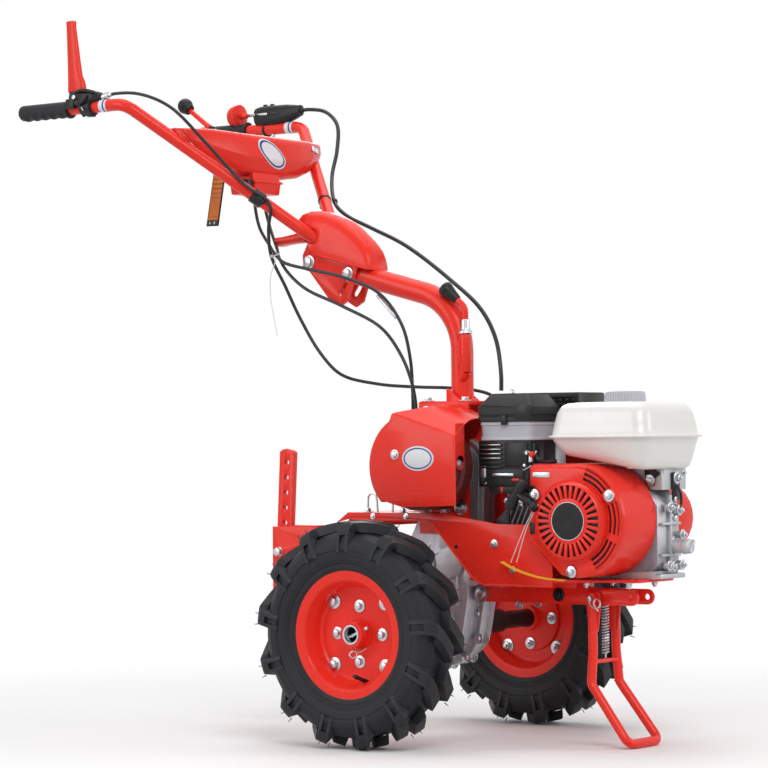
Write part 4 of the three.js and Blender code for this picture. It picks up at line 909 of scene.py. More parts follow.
def nose_plate():
    """Painted plate across the ends of the front bars, with an ear at each side."""
    low, high = corners("front_bar_left")
    middle_z = (low.z + high.z) / 2
    reach = low.x - 0.6
    back = block("nose_plate", -reach, reach, -398, -392, middle_z - 12, middle_z + 12, 1.0)
    ears = [
        block("ear", side * (reach - 4), side * reach, -400, -356, middle_z - 12, middle_z + 12, 1.2)
        for side in (-1, 1)]
    install(joined("nose_plate", back, *ears), "machine", "red_paint")


def stand_details():
    pin_y, pin_z = middle("stand_pin").y, middle("stand_pin").z
    top, foot = 39, 52
    ground, knee = -AXLE.z / MM + 8.5, -AXLE.z / MM + 112
    path = bent([
        (-top, pin_y, pin_z - 10), (-top, pin_y - 1, knee + 60), (-top - 8, pin_y - 2, knee),
        (-foot, -421, ground), (foot, -421, ground), (top + 8, pin_y - 2, knee), (top, pin_y - 1, knee + 60),
        (top, pin_y, pin_z - 10)], 15, 7)
    legs = pipe("stand_legs", path, 8.5, 24)
    parts = [legs]
    for side in (-1, 1):
        parts.append(plate("gusset", rounded([
            (pin_y - 16, pin_z + 12), (pin_y + 16, pin_z + 12), (pin_y + 14, pin_z - 20),
            (pin_y + 8, pin_z - 62), (pin_y - 9, pin_z - 62), (pin_y - 14, pin_z - 20)], 8),
            side * (top - 7), side * (top - 3), [ring(pin_y, pin_z, 5.3)], 0.8))
        parts.append(rod(
            "eye", (side * (top - 7), pin_y, pin_z), (side * (top + 7), pin_y, pin_z), 11.5, vertices=32,
            bevel=0.8))
    parts.append(rod("cross", (-top, pin_y - 4, knee + 40), (top, pin_y - 4, knee + 40), 3.6, vertices=20))
    install(joined("stand_skin", *parts), "stand", "red_paint", "stand_leg")
    pin = [
        rod("pin", (-top - 12, pin_y, pin_z), (top + 12, pin_y, pin_z), 5, vertices=28, bevel=0.8),
        rod("head", (top + 8, pin_y, pin_z), (top + 13, pin_y, pin_z), 8, vertices=28, bevel=0.8),
        pipe("clip", flowing([(-top - 8, pin_y, pin_z + 6), (-top - 8, pin_y + 1, pin_z - 7),
            (-top - 9, pin_y - 9, pin_z - 16), (-top - 9, pin_y - 20, pin_z - 14),
            (-top - 9, pin_y - 22, pin_z - 4), (-top - 9, pin_y - 13, pin_z),
            (-top - 9, pin_y - 9, pin_z - 8), (-top - 9, pin_y - 18, pin_z - 22)], 6), 1.5, 10)]
    install(joined("stand_pin_skin", *pin), "machine", "zinc", "stand_pin")
    spring_low, spring_high = corners("stand_spring")
    coil = []
    turns, steps_a_turn = 17, 14
    steps = turns * steps_a_turn
    for i in range(steps + 1):
        a = i / steps_a_turn * math.tau
        t = i / steps
        coil.append((
            6 * math.cos(a), (spring_low.y + spring_high.y) / 2 + 6 * math.sin(a),
            spring_low.z + 8 + (spring_high.z - spring_low.z - 16) * t))
    wire = pipe("coil", coil, 1.3, 8)
    hooks = [pipe("hook", flowing([
        (0, coil[end][1], coil[end][2]), (0, coil[end][1], coil[end][2] + lift),
        (0, middle("stand_spring").y, coil[end][2] + lift * 1.6)], 6), 1.3, 8)
        for end, lift in ((0, -4.5), (-1, 4.5))]
    install(joined("stand_spring_skin", wire, *hooks), "stand", "zinc", "stand_spring")


def gearbox_details():
    skin = dressed("gearbox_housing", 2.2, segments=3)
    half, flange = 48, 10
    parts = []
    for side in (-1, 1):
        for radius, depth in ((46, 5), (38, 10)):
            parts.append(rod(
                "boss", (side * (half - 1), 0, 0), (side * (half + depth), 0, 0), radius, radius - 1.5, 48,
                1.2))
        parts.append(
            rod("boss", (side * (half - 1), -36, 120), (side * (half + 6), -36, 120), 30, 28.5, 40, 1.2))
        parts.append(rod("boss", (side * (half - 1), -86, 96), (side * (half + 6), -86, 96), 19, 18, 36, 1.2))
        parts.append(rod("boss", (side * (half - 1), 18, 118), (side * (half + 5), 18, 118), 20, 19, 36, 1.2))
        for y, z0, z1 in ((46, 30, 130), (-52, 40, 160)):
            parts.append(block("rib", side * (half - 2), side * (half + 3.5), y - 3, y + 3, z0, z1, 1.4))
    install(joined("gearbox_skin", skin, *parts), "machine", "casting", "gearbox_housing")
    heads = []
    seam = [
        (-70, 24), (-71, -22), (-44, -58), (0, -72), (44, -58), (70, -10), (74, 60), (74, 120), (62, 172),
        (34, 226), (-86, 70), (-79, 130)]
    for y, z in seam:
        heads.append(hexagon_bolt("bolt", (-flange, y, z), (-1, 0, 0), 11, 6))
        heads.append(hexagon_bolt("nut", (flange, y, z), (1, 0, 0), 11, 6, shank=3))
    for side in (-1, 1):
        for i in range(6):
            a = math.radians(30 + 60 * i)
            heads.append(hexagon_bolt(
                "bolt", (side * (half + 4.5), 42 * math.cos(a), 42 * math.sin(a)), (side, 0, 0), 9, 4,
                washer=5.5))
    install(joined("gearbox_bolts", *heads), "machine", "zinc")
    lever = joined(
        "shift_arms", plate("arm", rounded([(12, 214), (24, 214), (30, 246), (16, 250)], 5), -34, -30, [],
            0.8), plate("arm", rounded([(8, 214), (20, 214), (24, 250), (10, 252)], 5), -16, -12, [], 0.8),
        rod("rod", (-40, 17, 216), (0, 17, 216), 5, vertices=20, bevel=0.6))
    install(lever, "machine", "dark_steel")


def hitch_details():
    skin = dressed("hitch_bracket", 1.2)
    install(skin, "machine", "red_paint", "hitch_bracket")
    high = corners("hitch_bracket")[1]
    cheek = high.x - 8
    y, z = high.y - 16, high.z - 49
    heads = [
        hexagon_bolt("bolt", (side * cheek, y, z), (side, 0, 0), 15, 8, washer=9, shank=4 if side > 0 else 0)
        for side in (-1, 1)]
    install(joined("hitch_bolts", *heads), "machine", "zinc")
    cap = block("hitch_cap", -cheek, cheek, 304, 366, high.z - 0.6, high.z + 3, 1.0)
    install(cap, "machine", "red_paint")
    skin = dressed("depth_bar", 1.2)
    install(skin, "machine", "red_paint", "depth_bar")


for side_name, side_sign in SIDES.items():
    side_plate(side_name, side_sign)
    front_bar(side_name, side_sign)
deck_details()
platform_details()
nose_plate()
stand_details()
gearbox_details()
hitch_details()


# ---------------------------------------------------------------- engine
RECOIL_LOW, RECOIL_HIGH = corners("recoil_starter")
CRANK = (RECOIL_LOW.y + RECOIL_HIGH.y) / 2, (RECOIL_LOW.z + RECOIL_HIGH.z) / 2
RECOIL_RADIUS = (RECOIL_HIGH.z - RECOIL_LOW.z) / 2
FAN_FACE = corners("fan_housing")[0].x
FAN_RADIUS = CRANK[0] - corners("fan_housing")[0].y
FAN_REAR = corners("fan_housing")[1].y


def arc(radius, start, end, steps=14):
    """Points on a circle round the crank, from start to end degrees; 0 points forwards."""
    return [(
        CRANK[0] - radius * math.cos(math.radians(start + (end - start) * i / steps)), CRANK[1] + radius
        * math.sin(math.radians(start + (end - start) * i / steps))) for i in range(steps + 1)]


def arc_slot(inner, outer, start, end):
    return arc(inner, start, end) + arc(outer, end, start)


def round_the_crank(radius, degrees, x):
    y, z = arc(radius, degrees, degrees, 1)[0]
    return x, y, z


FAN_BOSSES = [(90, 30, 4), (90, -92, 2), (92, 150, 2)]  # radius, degrees and how far each stands out
LOUVRES = [
    (radius, start, end) for start, end in ((38, 74), (-15, 22), (-62, -24)) for radius in (75, 84, 93)]


def fan_outline(inset):
    rear, top = FAN_REAR - inset, CRANK[1] + FAN_RADIUS - inset
    corner = [
        (rear, CRANK[1] - 35), (rear, CRANK[1] + 40), (rear, top - 5), (rear - 9, top), (CRANK[0] + 10, top)]
    return corner + arc(FAN_RADIUS - inset, 90, -108, 64)


def skin_through(name, rings):
    """Closed skin through rings of 3-D points in millimetres, with flat ends."""
    faces = strips(rings, len(rings[0])) + end_faces(rings)
    return smooth(outward(from_faces(name, [at(*p) for r in rings for p in r], faces)), 40)


def fan_housing():
    inner = corners("fan_housing")[1].x
    rings = [
        [(x, y, z) for y, z in fan_outline(inset)] for x, inset in (
            (inner, 0), (inner - 3, 0), (FAN_FACE + 14, 0), (FAN_FACE + 9, 0.8), (FAN_FACE + 4.5, 3),
            (FAN_FACE + 1.5, 6.5), (FAN_FACE, 11))]
    shell = skin_through("fan_housing_skin", rings)
    cutters = [
        plate("slot", arc_slot(r, r + 6, start, end), FAN_FACE - 4, FAN_FACE + 5, bevel=0.1)
        for r, start, end in LOUVRES]
    without(shell, *cutters)
    lips = [
        pipe("lip", [(FAN_FACE - 0.2, y, z) for y, z in arc(r + 6.5, start, end)], 1.1, 8) for r, start,
        end in LOUVRES]
    boss = [
        rod("boss", round_the_crank(r, turn, FAN_FACE + 3), round_the_crank(r, turn, FAN_FACE - out), 8, 7,
            28, 1) for r, turn, out in FAN_BOSSES]
    crease = pipe("crease", [(FAN_FACE + 2.5, y, z) for y, z in arc(FAN_RADIUS - 5, 88, -100, 50)], 1.2, 8)
    rear_flange = pipe("flange", [(inner - 2, y, z) for y, z in arc(FAN_RADIUS - 0.4, 90, -106, 60)], 1.3, 8)
    install(
        joined("fan_housing_skin", smooth(shell, 30), *lips, *boss, crease, rear_flange), "machine",
        "red_paint", "fan_housing")
    # black plates inside each louvre slot paint the shade inside the housing
    slot_shade = [
        plate("dark", arc_slot(r + 0.3, r + 5.7, start, end), FAN_FACE + 3.4, FAN_FACE + 4.4, bevel=0.1)
        for r, start, end in LOUVRES]
    install(joined("fan_housing_louvre_shade", *slot_shade), "machine", "black_plastic")
    bolts = [
        hexagon_bolt("bolt", round_the_crank(r, turn, FAN_FACE - out), (-1, 0, 0), 11, 5)
        for r, turn, out in FAN_BOSSES]
    install(joined("fan_housing_bolts", *bolts), "machine", "zinc")
    top = CRANK[1] + FAN_RADIUS
    tag = [
        block("tag", FAN_FACE - 1.2, FAN_FACE - 0.2, FAN_REAR - 48, FAN_REAR - 12, top - 24, top - 15, 0.4),
        *(rod("rivet", (FAN_FACE - 0.5, y, top - 19.5), (FAN_FACE - 2.4, y, top - 19.5), 2.4, 1.8, 16)
            for y in (FAN_REAR - 17, FAN_REAR - 43))]
    install(joined("fan_housing_plate", *tag), "machine", "zinc")
    marks = [block(
        "label", FAN_FACE - 0.7, FAN_FACE + 0.2, FAN_REAR - 17, FAN_REAR - 5, CRANK[1] + 34, CRANK[1] + 62,
        0.3), block("label", FAN_FACE - 0.7, FAN_FACE + 0.2, FAN_REAR - 15, FAN_REAR - 5, CRANK[1] - 24,
            CRANK[1] - 4, 0.3)]
    install(joined("fan_housing_labels", *marks), "machine", "black_plastic")


SLOT_COUNT = 30
SLOT_INNER, SLOT_OUTER = 40.5, 63.5
DISC_RADIUS = 33


def recoil_starter():
    base, face = RECOIL_HIGH.x, RECOIL_LOW.x
    centre = (0, *CRANK)
    rim = turned("rim", rounded([
        (base, RECOIL_RADIUS - 5), (base, RECOIL_RADIUS), (base - 9, RECOIL_RADIUS - 1.5),
        (face + 3, RECOIL_RADIUS - 5), (face, RECOIL_RADIUS - 8), (face + 0.6, SLOT_OUTER),
        (face + 4, SLOT_OUTER - 0.4), (base, RECOIL_RADIUS - 5)], 2, closed=False), centre)
    cap = turned("cap", rounded([
        (face + 6, 0), (face + 6, SLOT_INNER), (face + 0.8, SLOT_INNER), (face, DISC_RADIUS + 1.5),
        (face + 1.4, DISC_RADIUS), (face + 1.4, 0)], 0.6, closed=False), centre)
    spokes = []
    for i in range(SLOT_COUNT):
        angle = i * 360 / SLOT_COUNT
        half_in, half_out = 3.6, 3.0
        outline = arc(SLOT_INNER - 1, angle - half_in, angle + half_in, 2) + arc(
            SLOT_OUTER + 1, angle + half_out * 0.9, angle - half_out * 0.9, 2)
        spokes.append(plate("spoke", outline, face + 0.7, face + 5, bevel=0.5))
    ring_groove = pipe("groove", [(base - 8, y, z) for y, z in arc(RECOIL_RADIUS + 0.3, 0, 358, 80)], 0.8, 6)
    install(
        joined("recoil_starter_skin", rim, cap, *spokes, ring_groove), "machine", "red_paint",
        "recoil_starter")
    screen = turned(
        "recoil_screen", [(face + 7, 0), (face + 7, SLOT_OUTER + 1), (face + 8, SLOT_OUTER + 1),
            (face + 8, 0)], centre)
    install(screen, "machine", "black_plastic")
    disc = turned("recoil_disc", rounded([
        (face + 1.5, 0), (face + 0.1, 0), (face + 0.1, DISC_RADIUS - 1.2),
        (face + 0.8, DISC_RADIUS - 0.2), (face + 1.5, DISC_RADIUS - 0.2)], 0.5, closed=False),
        centre)
    install(disc, "machine", "black_plastic")
    edge = turned("recoil_disc_edge", rounded([
        (face + 1.2, DISC_RADIUS - 0.4), (face - 0.3, DISC_RADIUS - 0.2),
        (face - 0.3, DISC_RADIUS + 0.9), (face + 1.2, DISC_RADIUS + 1.2),
        (face + 1.2, DISC_RADIUS - 0.4)], 0.4, closed=False), centre)
    install(edge, "machine", "zinc")


def starter_grip():
    x = RECOIL_HIGH.x - 12
    y, z = CRANK
    top, low = Vector((x, y + 94, z + 72)), Vector((x, y + 129, z + 21))
    along = (low - top).normalized()
    length = (low - top).length
    side = Vector((0, along.z, -along.y))
    sections = [
        (0, 7, 5), (0.04, 10.5, 8), (0.14, 11, 9), (0.5, 9.6, 8.4), (0.86, 11, 9), (0.96, 10.5, 8), (1, 7, 5)]
    rings = []
    for t, wide, deep in sections:
        centre = top + along * length * t
        rings.append([
            centre + side * wide * math.cos(a) * abs(math.cos(a)) ** -0.3 * 0.9
            + Vector((1, 0, 0)) * deep * math.sin(a)
            for a in (math.tau * (i + 0.5) / 24 for i in range(24))])
    handle = skin_through("handle", [[tuple(p) for p in r] for r in rings])
    ribs = [pipe("rib", [
        tuple(top + along * length * t + side * (w * math.cos(a)) + Vector((1, 0, 0)) * 9.2 * math.sin(a))
        for a in (math.tau * i / 20 for i in range(21))], 0.9, 6)
        for t, w in ((0.2, 10.8), (0.3, 10.2), (0.7, 10.2), (0.8, 10.8))]
    neck = rod("neck", tuple(top.lerp(low, 0.46)), (x, y + 67.5, z + 20.8), 7.5, 5, 28, 0.8)
    collar = rod("collar", (x, y + 79, z + 27.5), (x, y + 70, z + 22), 8.5, 8.5, 28, 1)
    return install(
        joined("starter_grip_skin", handle, neck, collar, *ribs), "machine", "black_plastic", "starter_grip")


def rounded_rect(width, length, radius, steps=8):
    points = []
    for quarter, (sx, sy) in enumerate(((1, 1), (-1, 1), (-1, -1), (1, -1))):
        for i in range(steps + 1):
            a = (quarter + i / steps) * math.pi / 2
            points.append((
                sx * (width / 2 - radius) + radius * math.cos(a), sy * (length / 2 - radius) + radius
                * math.sin(a)))
    return points


TANK_LOW, TANK_HIGH = corners("fuel_tank")
TANK_MIDDLE = (TANK_LOW + TANK_HIGH) / 2
TANK_WIDE, TANK_LONG = TANK_HIGH.x - TANK_LOW.x, TANK_HIGH.y - TANK_LOW.y
TANK_SEAM = 351
TANK_FLOOR_SLOPE = 0.165


def tank():
    def level(inset, radius, z, slope=0.0, dome=0.0):
        points = rounded_rect(TANK_WIDE - 2 * inset, TANK_LONG - 2 * inset, radius)
        return [(TANK_MIDDLE.x + x, TANK_MIDDLE.y + y, z + slope * y + dome) for x, y in points]

    floor = 305
    rings = [
        level(60, 14, floor - 0.5, TANK_FLOOR_SLOPE), level(30, 16, floor, TANK_FLOOR_SLOPE),
        level(24, 19, floor + 2, TANK_FLOOR_SLOPE), level(19, 23, floor + 7, TANK_FLOOR_SLOPE),
        level(15, 25, floor + 15, TANK_FLOOR_SLOPE * 0.8), level(9, 26, TANK_SEAM - 12, TANK_FLOOR_SLOPE
            * 0.15), level(6.5, 26, TANK_SEAM - 4), level(5, 27, TANK_SEAM - 2.2),
        level(0.6, 30, TANK_SEAM - 1.8), level(0, 30, TANK_SEAM), level(0.6, 30, TANK_SEAM + 1.8),
        level(5, 27, TANK_SEAM + 2.2), level(6.5, 26, TANK_SEAM + 4), level(9, 26, TANK_SEAM + 22),
        level(13, 26, TANK_HIGH.z - 20), level(16.5, 26, TANK_HIGH.z - 12), level(21, 24, TANK_HIGH.z - 6.5),
        level(28, 20, TANK_HIGH.z - 3), level(42, 15, TANK_HIGH.z - 1), level(70, 10, TANK_HIGH.z - 0.1)]
    shell = skin_through("fuel_tank_skin", rings)
    smooth(shell, 62)
    neck = upright("neck", rounded([(-3, 30), (-3, 38), (1.5, 36), (1.5, 30)], 1, closed=False), cap_seat())
    return install(joined("fuel_tank_skin", shell, neck), "machine", "tank_white", "fuel_tank")


def upright(name, profile, centre, steps=96):
    """Part turned about an upright axis: profile of (height, radius) from the centre."""
    piece = turned(name, profile, (0, 0, 0), 1, steps)
    piece.data.transform(turn_about(centre, -math.pi / 2, "Y"))
    return piece


def cap_seat():
    low, high = corners("fuel_cap")
    return (low.x + high.x) / 2, (low.y + high.y) / 2, low.z


def fuel_cap():
    low, high = corners("fuel_cap")
    height, radius = high.z - low.z, (high.x - low.x) / 2
    x, y, z = cap_seat()
    body = upright("cap", rounded([
        (0.4, 0), (0.4, radius - 1.2), (height - 4, radius - 1.6), (height - 1, radius - 4),
        (height, radius - 8), (height - 0.6, radius - 12), (height - 1.4, 0)], 1.6, closed=False),
        (x, y, z))
    ribs = [rod(
        "rib", (x + (radius - 1.2) * math.cos(a), y + (radius - 1.2) * math.sin(a), z + 1),
        (x + (radius - 2.6) * math.cos(a), y + (radius - 2.6) * math.sin(a), z + height - 3.4), 1.3, 1.1, 8)
        for a in (math.tau * i / 40 for i in range(40))]
    bar = block("bar", x - 25, x + 25, y - 4, y + 4, z + height - 1.8, z + height - 0.2, 0.7)
    return install(joined("fuel_cap_skin", body, *ribs, bar), "machine", "cap_grey", "fuel_cap")


def tank_brackets():
    """Black straps between the crankcase and the tank, with their bolts."""
    front = corners("engine_block")[0].y
    straps = [plate("strap", rounded([
        (TANK_LOW.y + 34, 284), (TANK_LOW.y + 52, 296), (front + 34, 296), (front + 30, 262),
        (front + 14, 262), (front + 12, 276)], 4), x0, x1, [], 0.8)
        for x0, x1 in ((-16, -12.5), (54, 58), (73, 77))]
    shelf = block("shelf", -16, 77, front + 8, front + 30, 280, 284, 1.2)
    arm = block("arm", 20, 44, front - 5, front - 1, 236, 286, 1.2)
    lever = pipe(
        "governor", flowing([(30, front - 8, 262), (34, front - 12, 248), (40, front - 9, 232),
            (34, front - 7, 214)], 6), 2.4, 10)
    install(joined("tank_brackets", *straps, shelf, arm, lever), "machine", "black_sheet")
    heads = [
        hexagon_bolt("bolt", (x, front + y, z), axis, across, 6, shank=shank) for x, y, z, axis, across,
        shank in ((-16, 22, 272, (-1, 0, 0), 11, 3), (77, 22, 284, (1, 0, 0), 11, 3),
            (32, -5, 276, (0, -1, 0), 12, 4), (64, 6, 284, (0, -1, 0), 10, 4),
            (-4, 10, 287, (0, -1, 0), 10, 4))]
    install(joined("tank_bracket_bolts", *heads), "machine", "zinc")


def engine_block():
    low = corners("engine_block")[0]
    skin = dressed("engine_block", 2.6, segments=3)
    front, base = low.y, low.z
    parts = [
        block("seam", 14, 21, front - 2.5, front + 6, base + 16, base + 150, 1.6),
        *(block("rib", -14, 50, front - 3, front + 4, base + z, base + z + 5, 1.4) for z in (96, 40)),
        block("foot", -19.5, 66, front - 1, front + 22, base + 0.5, base + 9, 1.6),
        *(rod("boss", (x, front + 2, base + z), (x, front - out, base + z), wide, end, 28, 1.2)
            for x, z, out, wide, end in ((36, 122, 7, 11, 10), (4, 128, 6, 8, 7), (46, 78, 9, 7, 6),
                (44, 24, 7, 8, 7.5), (0, 24, 6, 7, 6.5)))]
    tilt = turn_about((0, -265, base + 90), math.radians(24), "X")
    for i in range(9):
        fin = block("fin", -54, 72, 12 + 10 * i, 14.4 + 10 * i, -52, 50, 0.6, 1)
        fin.data.transform(tilt)
        parts.append(fin)
    refinished(
        install(joined("engine_block_skin", skin, *parts), "machine", "casting", "engine_block"),
        ENGINE_METAL)
    heads = []
    for z in (22, 66, 108, 142):
        heads.append(hexagon_bolt("bolt", (27, front - 0.5, base + z), (0, -1, 0), 10, 5))
    for x, z in ((36, 122), (4, 128), (46, 78), (44, 24), (0, 24)):
        heads.append(hexagon_bolt("bolt", (x, front - 7.5, base + z), (0, -1, 0), 10, 5, shank=3))
    heads += [
        hexagon_bolt("bolt", (60, y, base + 14), (0, 0, 1), 13, 7, shank=4)
        for y in (front + 14, front + 180)]
    for i in range(7):
        a = math.radians(20 + 52 * i)
        heads.append(
            hexagon_bolt("bolt", (54, CRANK[0] + 78 * math.cos(a), CRANK[1] + 68 * math.sin(a)), (1, 0, 0),
                11, 6))
    install(joined("engine_block_bolts", *heads), "machine", "zinc")


def oil_filler():
    low, high = corners("oil_filler")
    x, z = (low.x + high.x) / 2, (low.z + high.z) / 2
    radius = (high.x - low.x) / 2
    body = [
        rod("neck", (x, high.y + 0.3, z), (x, low.y + 20, z), radius, radius, 40, 1.2),
        rod("cap", (x, low.y + 22, z), (x, low.y + 6, z), radius + 2, radius, 40, 1.6)]
    wing = plate("wing", rounded([
        (low.y + 12, z - radius), (low.y + 12, z + radius), (low.y + 1, z + radius + 1),
        (low.y + 3, z), (low.y + 1, z - radius - 1)], 4), x - 2.6, x + 2.6, bevel=1.0)
    wing.data.transform(turn_about((x, 0, z), math.radians(35), "Y", (x, 0, z)))
    return install(joined("oil_filler_skin", *body, wing), "machine", "casting", "oil_filler")


def air_cleaner():
    low, high = corners("air_cleaner_cap")
    split = low.z
    wide, long = high.x - low.x, high.y - low.y
    cx, cy = (low.x + high.x) / 2, (low.y + high.y) / 2

    def level(inset, radius, z, front_inset=0.0):
        return [
            (cx + x, cy + y + (front_inset if y < 0 else 0), z)
            for x, y in rounded_rect(wide - 2 * inset, long - 2 * inset, radius, 5)]

    cap = skin_through("cap", [
        level(0.6, 9, split + 0.4), level(0, 10, split + 1.4), level(0, 10, split + 9),
        level(1.6, 9, split + 10), level(1.6, 9, split + 12), level(0.2, 10, split + 13),
        level(0.2, 10, split + 27), level(2.5, 9, split + 30), level(15, 8, high.z - 2),
        level(17, 8, high.z)])
    smooth(cap, 25)
    ridge = [
        pipe("edge", [(low.x - 0.2, high.y - 8, split + 30), (low.x - 0.2, low.y + 44, split + 27)], 0.9, 8),
        block("panel", low.x - 0.8, low.x + 4, low.y + 4, low.y + 38, split + 3, split + 31, 2.0),
        block("latch", low.x - 2.4, low.x + 3, cy - 6, cy + 6, split - 6, split + 12, 1.2)]
    install(joined("air_cleaner_cap_skin", cap, *ridge), "machine", "black_plastic", "air_cleaner_cap")
    blow, bhigh = corners("air_cleaner_body")
    cx, cy = (blow.x + bhigh.x) / 2, (blow.y + bhigh.y) / 2

    def band(inset, z):
        return [
            (cx + x, cy + y, z) for x, y in
            rounded_rect(bhigh.x - blow.x - 2 * inset, bhigh.y - blow.y - 2 * inset, 10, 5)]

    body = skin_through("air_cleaner_body_skin", [
        band(2, blow.z), band(0.4, blow.z + 1.4), band(0.4, blow.z + 6),
        band(1.6, blow.z + 7.5), band(1.6, bhigh.z - 7), band(0.2, bhigh.z - 5.5),
        band(0.2, bhigh.z)])
    install(body, "machine", "cap_grey", "air_cleaner_body")


def control_box():
    low, high = corners("control_box")
    skin = dressed("control_box", 1.8, segments=3)
    x = low.x
    ribs = [
        block("rib", x - 2.6, x + 1, high.y - 52, high.y - 3, high.z - 6 - 8 * i - 4, high.z - 6 - 8 * i, 0.8)
        for i in range(6)]
    parts = [
        block("plug", x - 3.4, x + 1, low.y + 6, high.y - 58, high.z - 47, high.z - 3, 2),
        block("panel", x - 1.6, x + 1, low.y + 5, high.y - 4, low.z + 3, low.z + 32, 1),
        block("slot", x - 4.5, x + 1, low.y + 14, high.y - 52, low.z + 16, low.z + 27, 1),
        rod("knob", (x - 1, high.y - 14, low.z + 12), (x - 10, high.y - 14, low.z + 12), 6, 5, 24, 1),
        block("stay", x + 4, x + 26, low.y - 6, low.y + 6, low.z - 34, high.z - 4, 1.5),
        block("link", x + 2, x + 8, low.y + 20, high.y - 20, low.z - 12, low.z + 3, 1.2)]
    install(joined("control_box_skin", skin, *ribs, *parts), "machine", "black_plastic", "control_box")
    pale = [
        block("label", x - 2.3, x - 1.2, high.y - 17, high.y - 5, low.z + 16, low.z + 38, 0.3),
        block("lever", x - 7, x - 3, low.y + 34, high.y - 34, low.z + 20, low.z + 25, 0.8)]
    for i in range(4):
        pale.append(
            block("strip", x - 3.2, x - 2.2, high.y - 50, high.y - 6, high.z - 8 - 8 * i, high.z - 6.6 - 8
                * i, 0.2))
    pale += [
        rod("screw", (x - 2, high.y - 16, low.z + 8), (x - 5, high.y - 16, low.z + 8), 4, 3, 18, 0.4),
        rod("screw", (x - 2, low.y + 16, low.z + 10), (x - 5, low.y + 16, low.z + 10), 3.4, 2.6, 18, 0.4)]
    install(joined("control_box_trim", *pale), "machine", "zinc")


def fuel_parts():
    """Carburettor bowl, fuel tap, linkage and plug lead between the control box and the fan housing."""
    y = FAN_REAR + 14
    bright = [
        rod("bowl", (-86, y + 30, 232), (-86, y + 30, 256), 15, 16, 32, 2),
        rod("nut", (-86, y + 30, 226), (-86, y + 30, 232), 6, vertices=6, bevel=0.6),
        rod("flange", (-66, y + 30, 262), (-104, y + 30, 262), 13, 13, 28, 1.4),
        rod("drain", (-100, y + 44, 238), (-116, y + 46, 236), 6, 5, 20, 0.8),
        rod("screw", (-108, y + 6, 300), (-116, y + 6, 300), 4, 3, 16, 0.5),
        rod("screw", (-100, y + 4, 322), (-112, y + 4, 322), 3, 3, 16, 0.5),
        rod("tap", (-112, y - 6, 306), (-112, y - 6, 318), 5, 4, 20, 0.8),
        pipe("link", flowing([(-108, y + 22, 316), (-112, y + 2, 326), (-110, y - 10, 318),
            (-108, y - 16, 326)], 6), 1.2, 8), pipe("link", flowing(
            [(-106, y + 20, 300), (-114, y + 8, 292), (-112, y - 8, 300)], 6), 1.2, 8)]
    install(joined("carburettor_skin", *bright), "machine", "zinc")
    dark = [
        rod("body", (-100, y + 6, 284), (-100, y + 6, 300), 11, 10, 28, 1.5),
        block("holder", -106, -74, y - 4, y + 24, 300, 330, 2), pipe("hose",
            flowing([(-100, y - 4, 322), (-106, y - 16, 312), (-96, y - 26, 306), (-80, y - 40, 308)], 8), 4,
            12), pipe("lead", flowing([(-56, y + 60, 300), (-72, y + 74, 280), (-92, y + 60, 266),
            (-98, y + 20, 252), (-90, y - 2, 240)], 8), 3.4, 12)]
    install(joined("fuel_line", *dark), "machine", "cable_black")
    red = [
        rod("tap", (-114, y - 10, 320), (-118, y - 10, 320), 6, 5, 20, 0.8),
        rod("cup", (-98, y + 62, 250), (-98, y + 62, 262), 8, 9, 24, 1),
        block("lever", -112, -108, y + 18, y + 36, 272, 277, 1)]
    install(joined("fuel_tap", *red), "machine", "red_plastic")


def slot_hole(y, z, half_width, half_height, steps=6):
    points = []
    for i in range(steps + 1):
        a = math.pi * i / steps
        points.append((y + half_width * math.cos(a), z + half_height - half_width + half_width * math.sin(a)))
    for i in range(steps + 1):
        a = math.pi + math.pi * i / steps
        points.append((y + half_width * math.cos(a), z - half_height + half_width + half_width * math.sin(a)))
    return points


def muffler():
    low, high = corners("muffler_guard")
    outline = rounded([(low.y, low.z), (low.y, high.z - 1), (high.y, high.z - 1), (high.y, low.z)], 7)
    holes = [
        slot_hole(low.y + 12 + 7.2 * i, z, 2.0, 5.2) for i in range(24) for z in (high.z - 15, high.z - 30)]
    holes += [slot_hole(low.y + 12 + 7.2 * i, low.z + 18, 2.0, 5.2) for i in range(24)]
    parts = [plate("side", outline, x, x + 2, holes, 0.3) for x in (low.x, high.x - 2)]
    top_holes = [
        [(x + 2.0 * math.cos(a), y + 5 * math.sin(a)) for a in (math.tau * k / 10 for k in range(10))]
        for x in (low.x + 18, low.x + 32, low.x + 46, low.x + 60) for y in
        (low.y + 16 + 13.4 * i for i in range(12))]
    plan = rounded([
        (low.x + 0.5, low.y + 1), (high.x - 0.5, low.y + 1), (high.x - 0.5, high.y - 1),
        (low.x + 0.5, high.y - 1)], 6)
    parts.append(slab("top", plan, high.z - 2, high.z - 0.2, top_holes, 0.3))
    parts += [
        block("end", low.x + 1, high.x - 1, y, y + 2, low.z, high.z - 1, 0.8) for y in (low.y, high.y - 2)]
    parts.append(block("ridge", low.x + 2, low.x + 8, low.y + 70, high.y - 8, high.z - 1.2, high.z, 0.6))
    install(joined("muffler_guard_skin", *parts), "machine", "black_sheet", "muffler_guard")
    core = dressed("muffler", 2.0, segments=3)
    install(core, "machine", "dark_steel", "muffler")
    lug = [
        block("tab", low.x + 10, low.x + 26, high.y - 44, high.y - 26, high.z - 1, high.z - 0.2, 0.3),
        rod("eye", (low.x + 18, high.y - 35, high.z - 0.6), (low.x + 18, high.y - 35, high.z + 5), 5.5, 5, 6,
            0.6), rod("stud", (low.x + 18, high.y - 35, high.z + 5), (low.x + 18, high.y - 35, high.z + 9),
            3.2, 2.8, 20, 0.5)]
    install(joined("muffler_guard_bolt", *lug), "machine", "zinc")


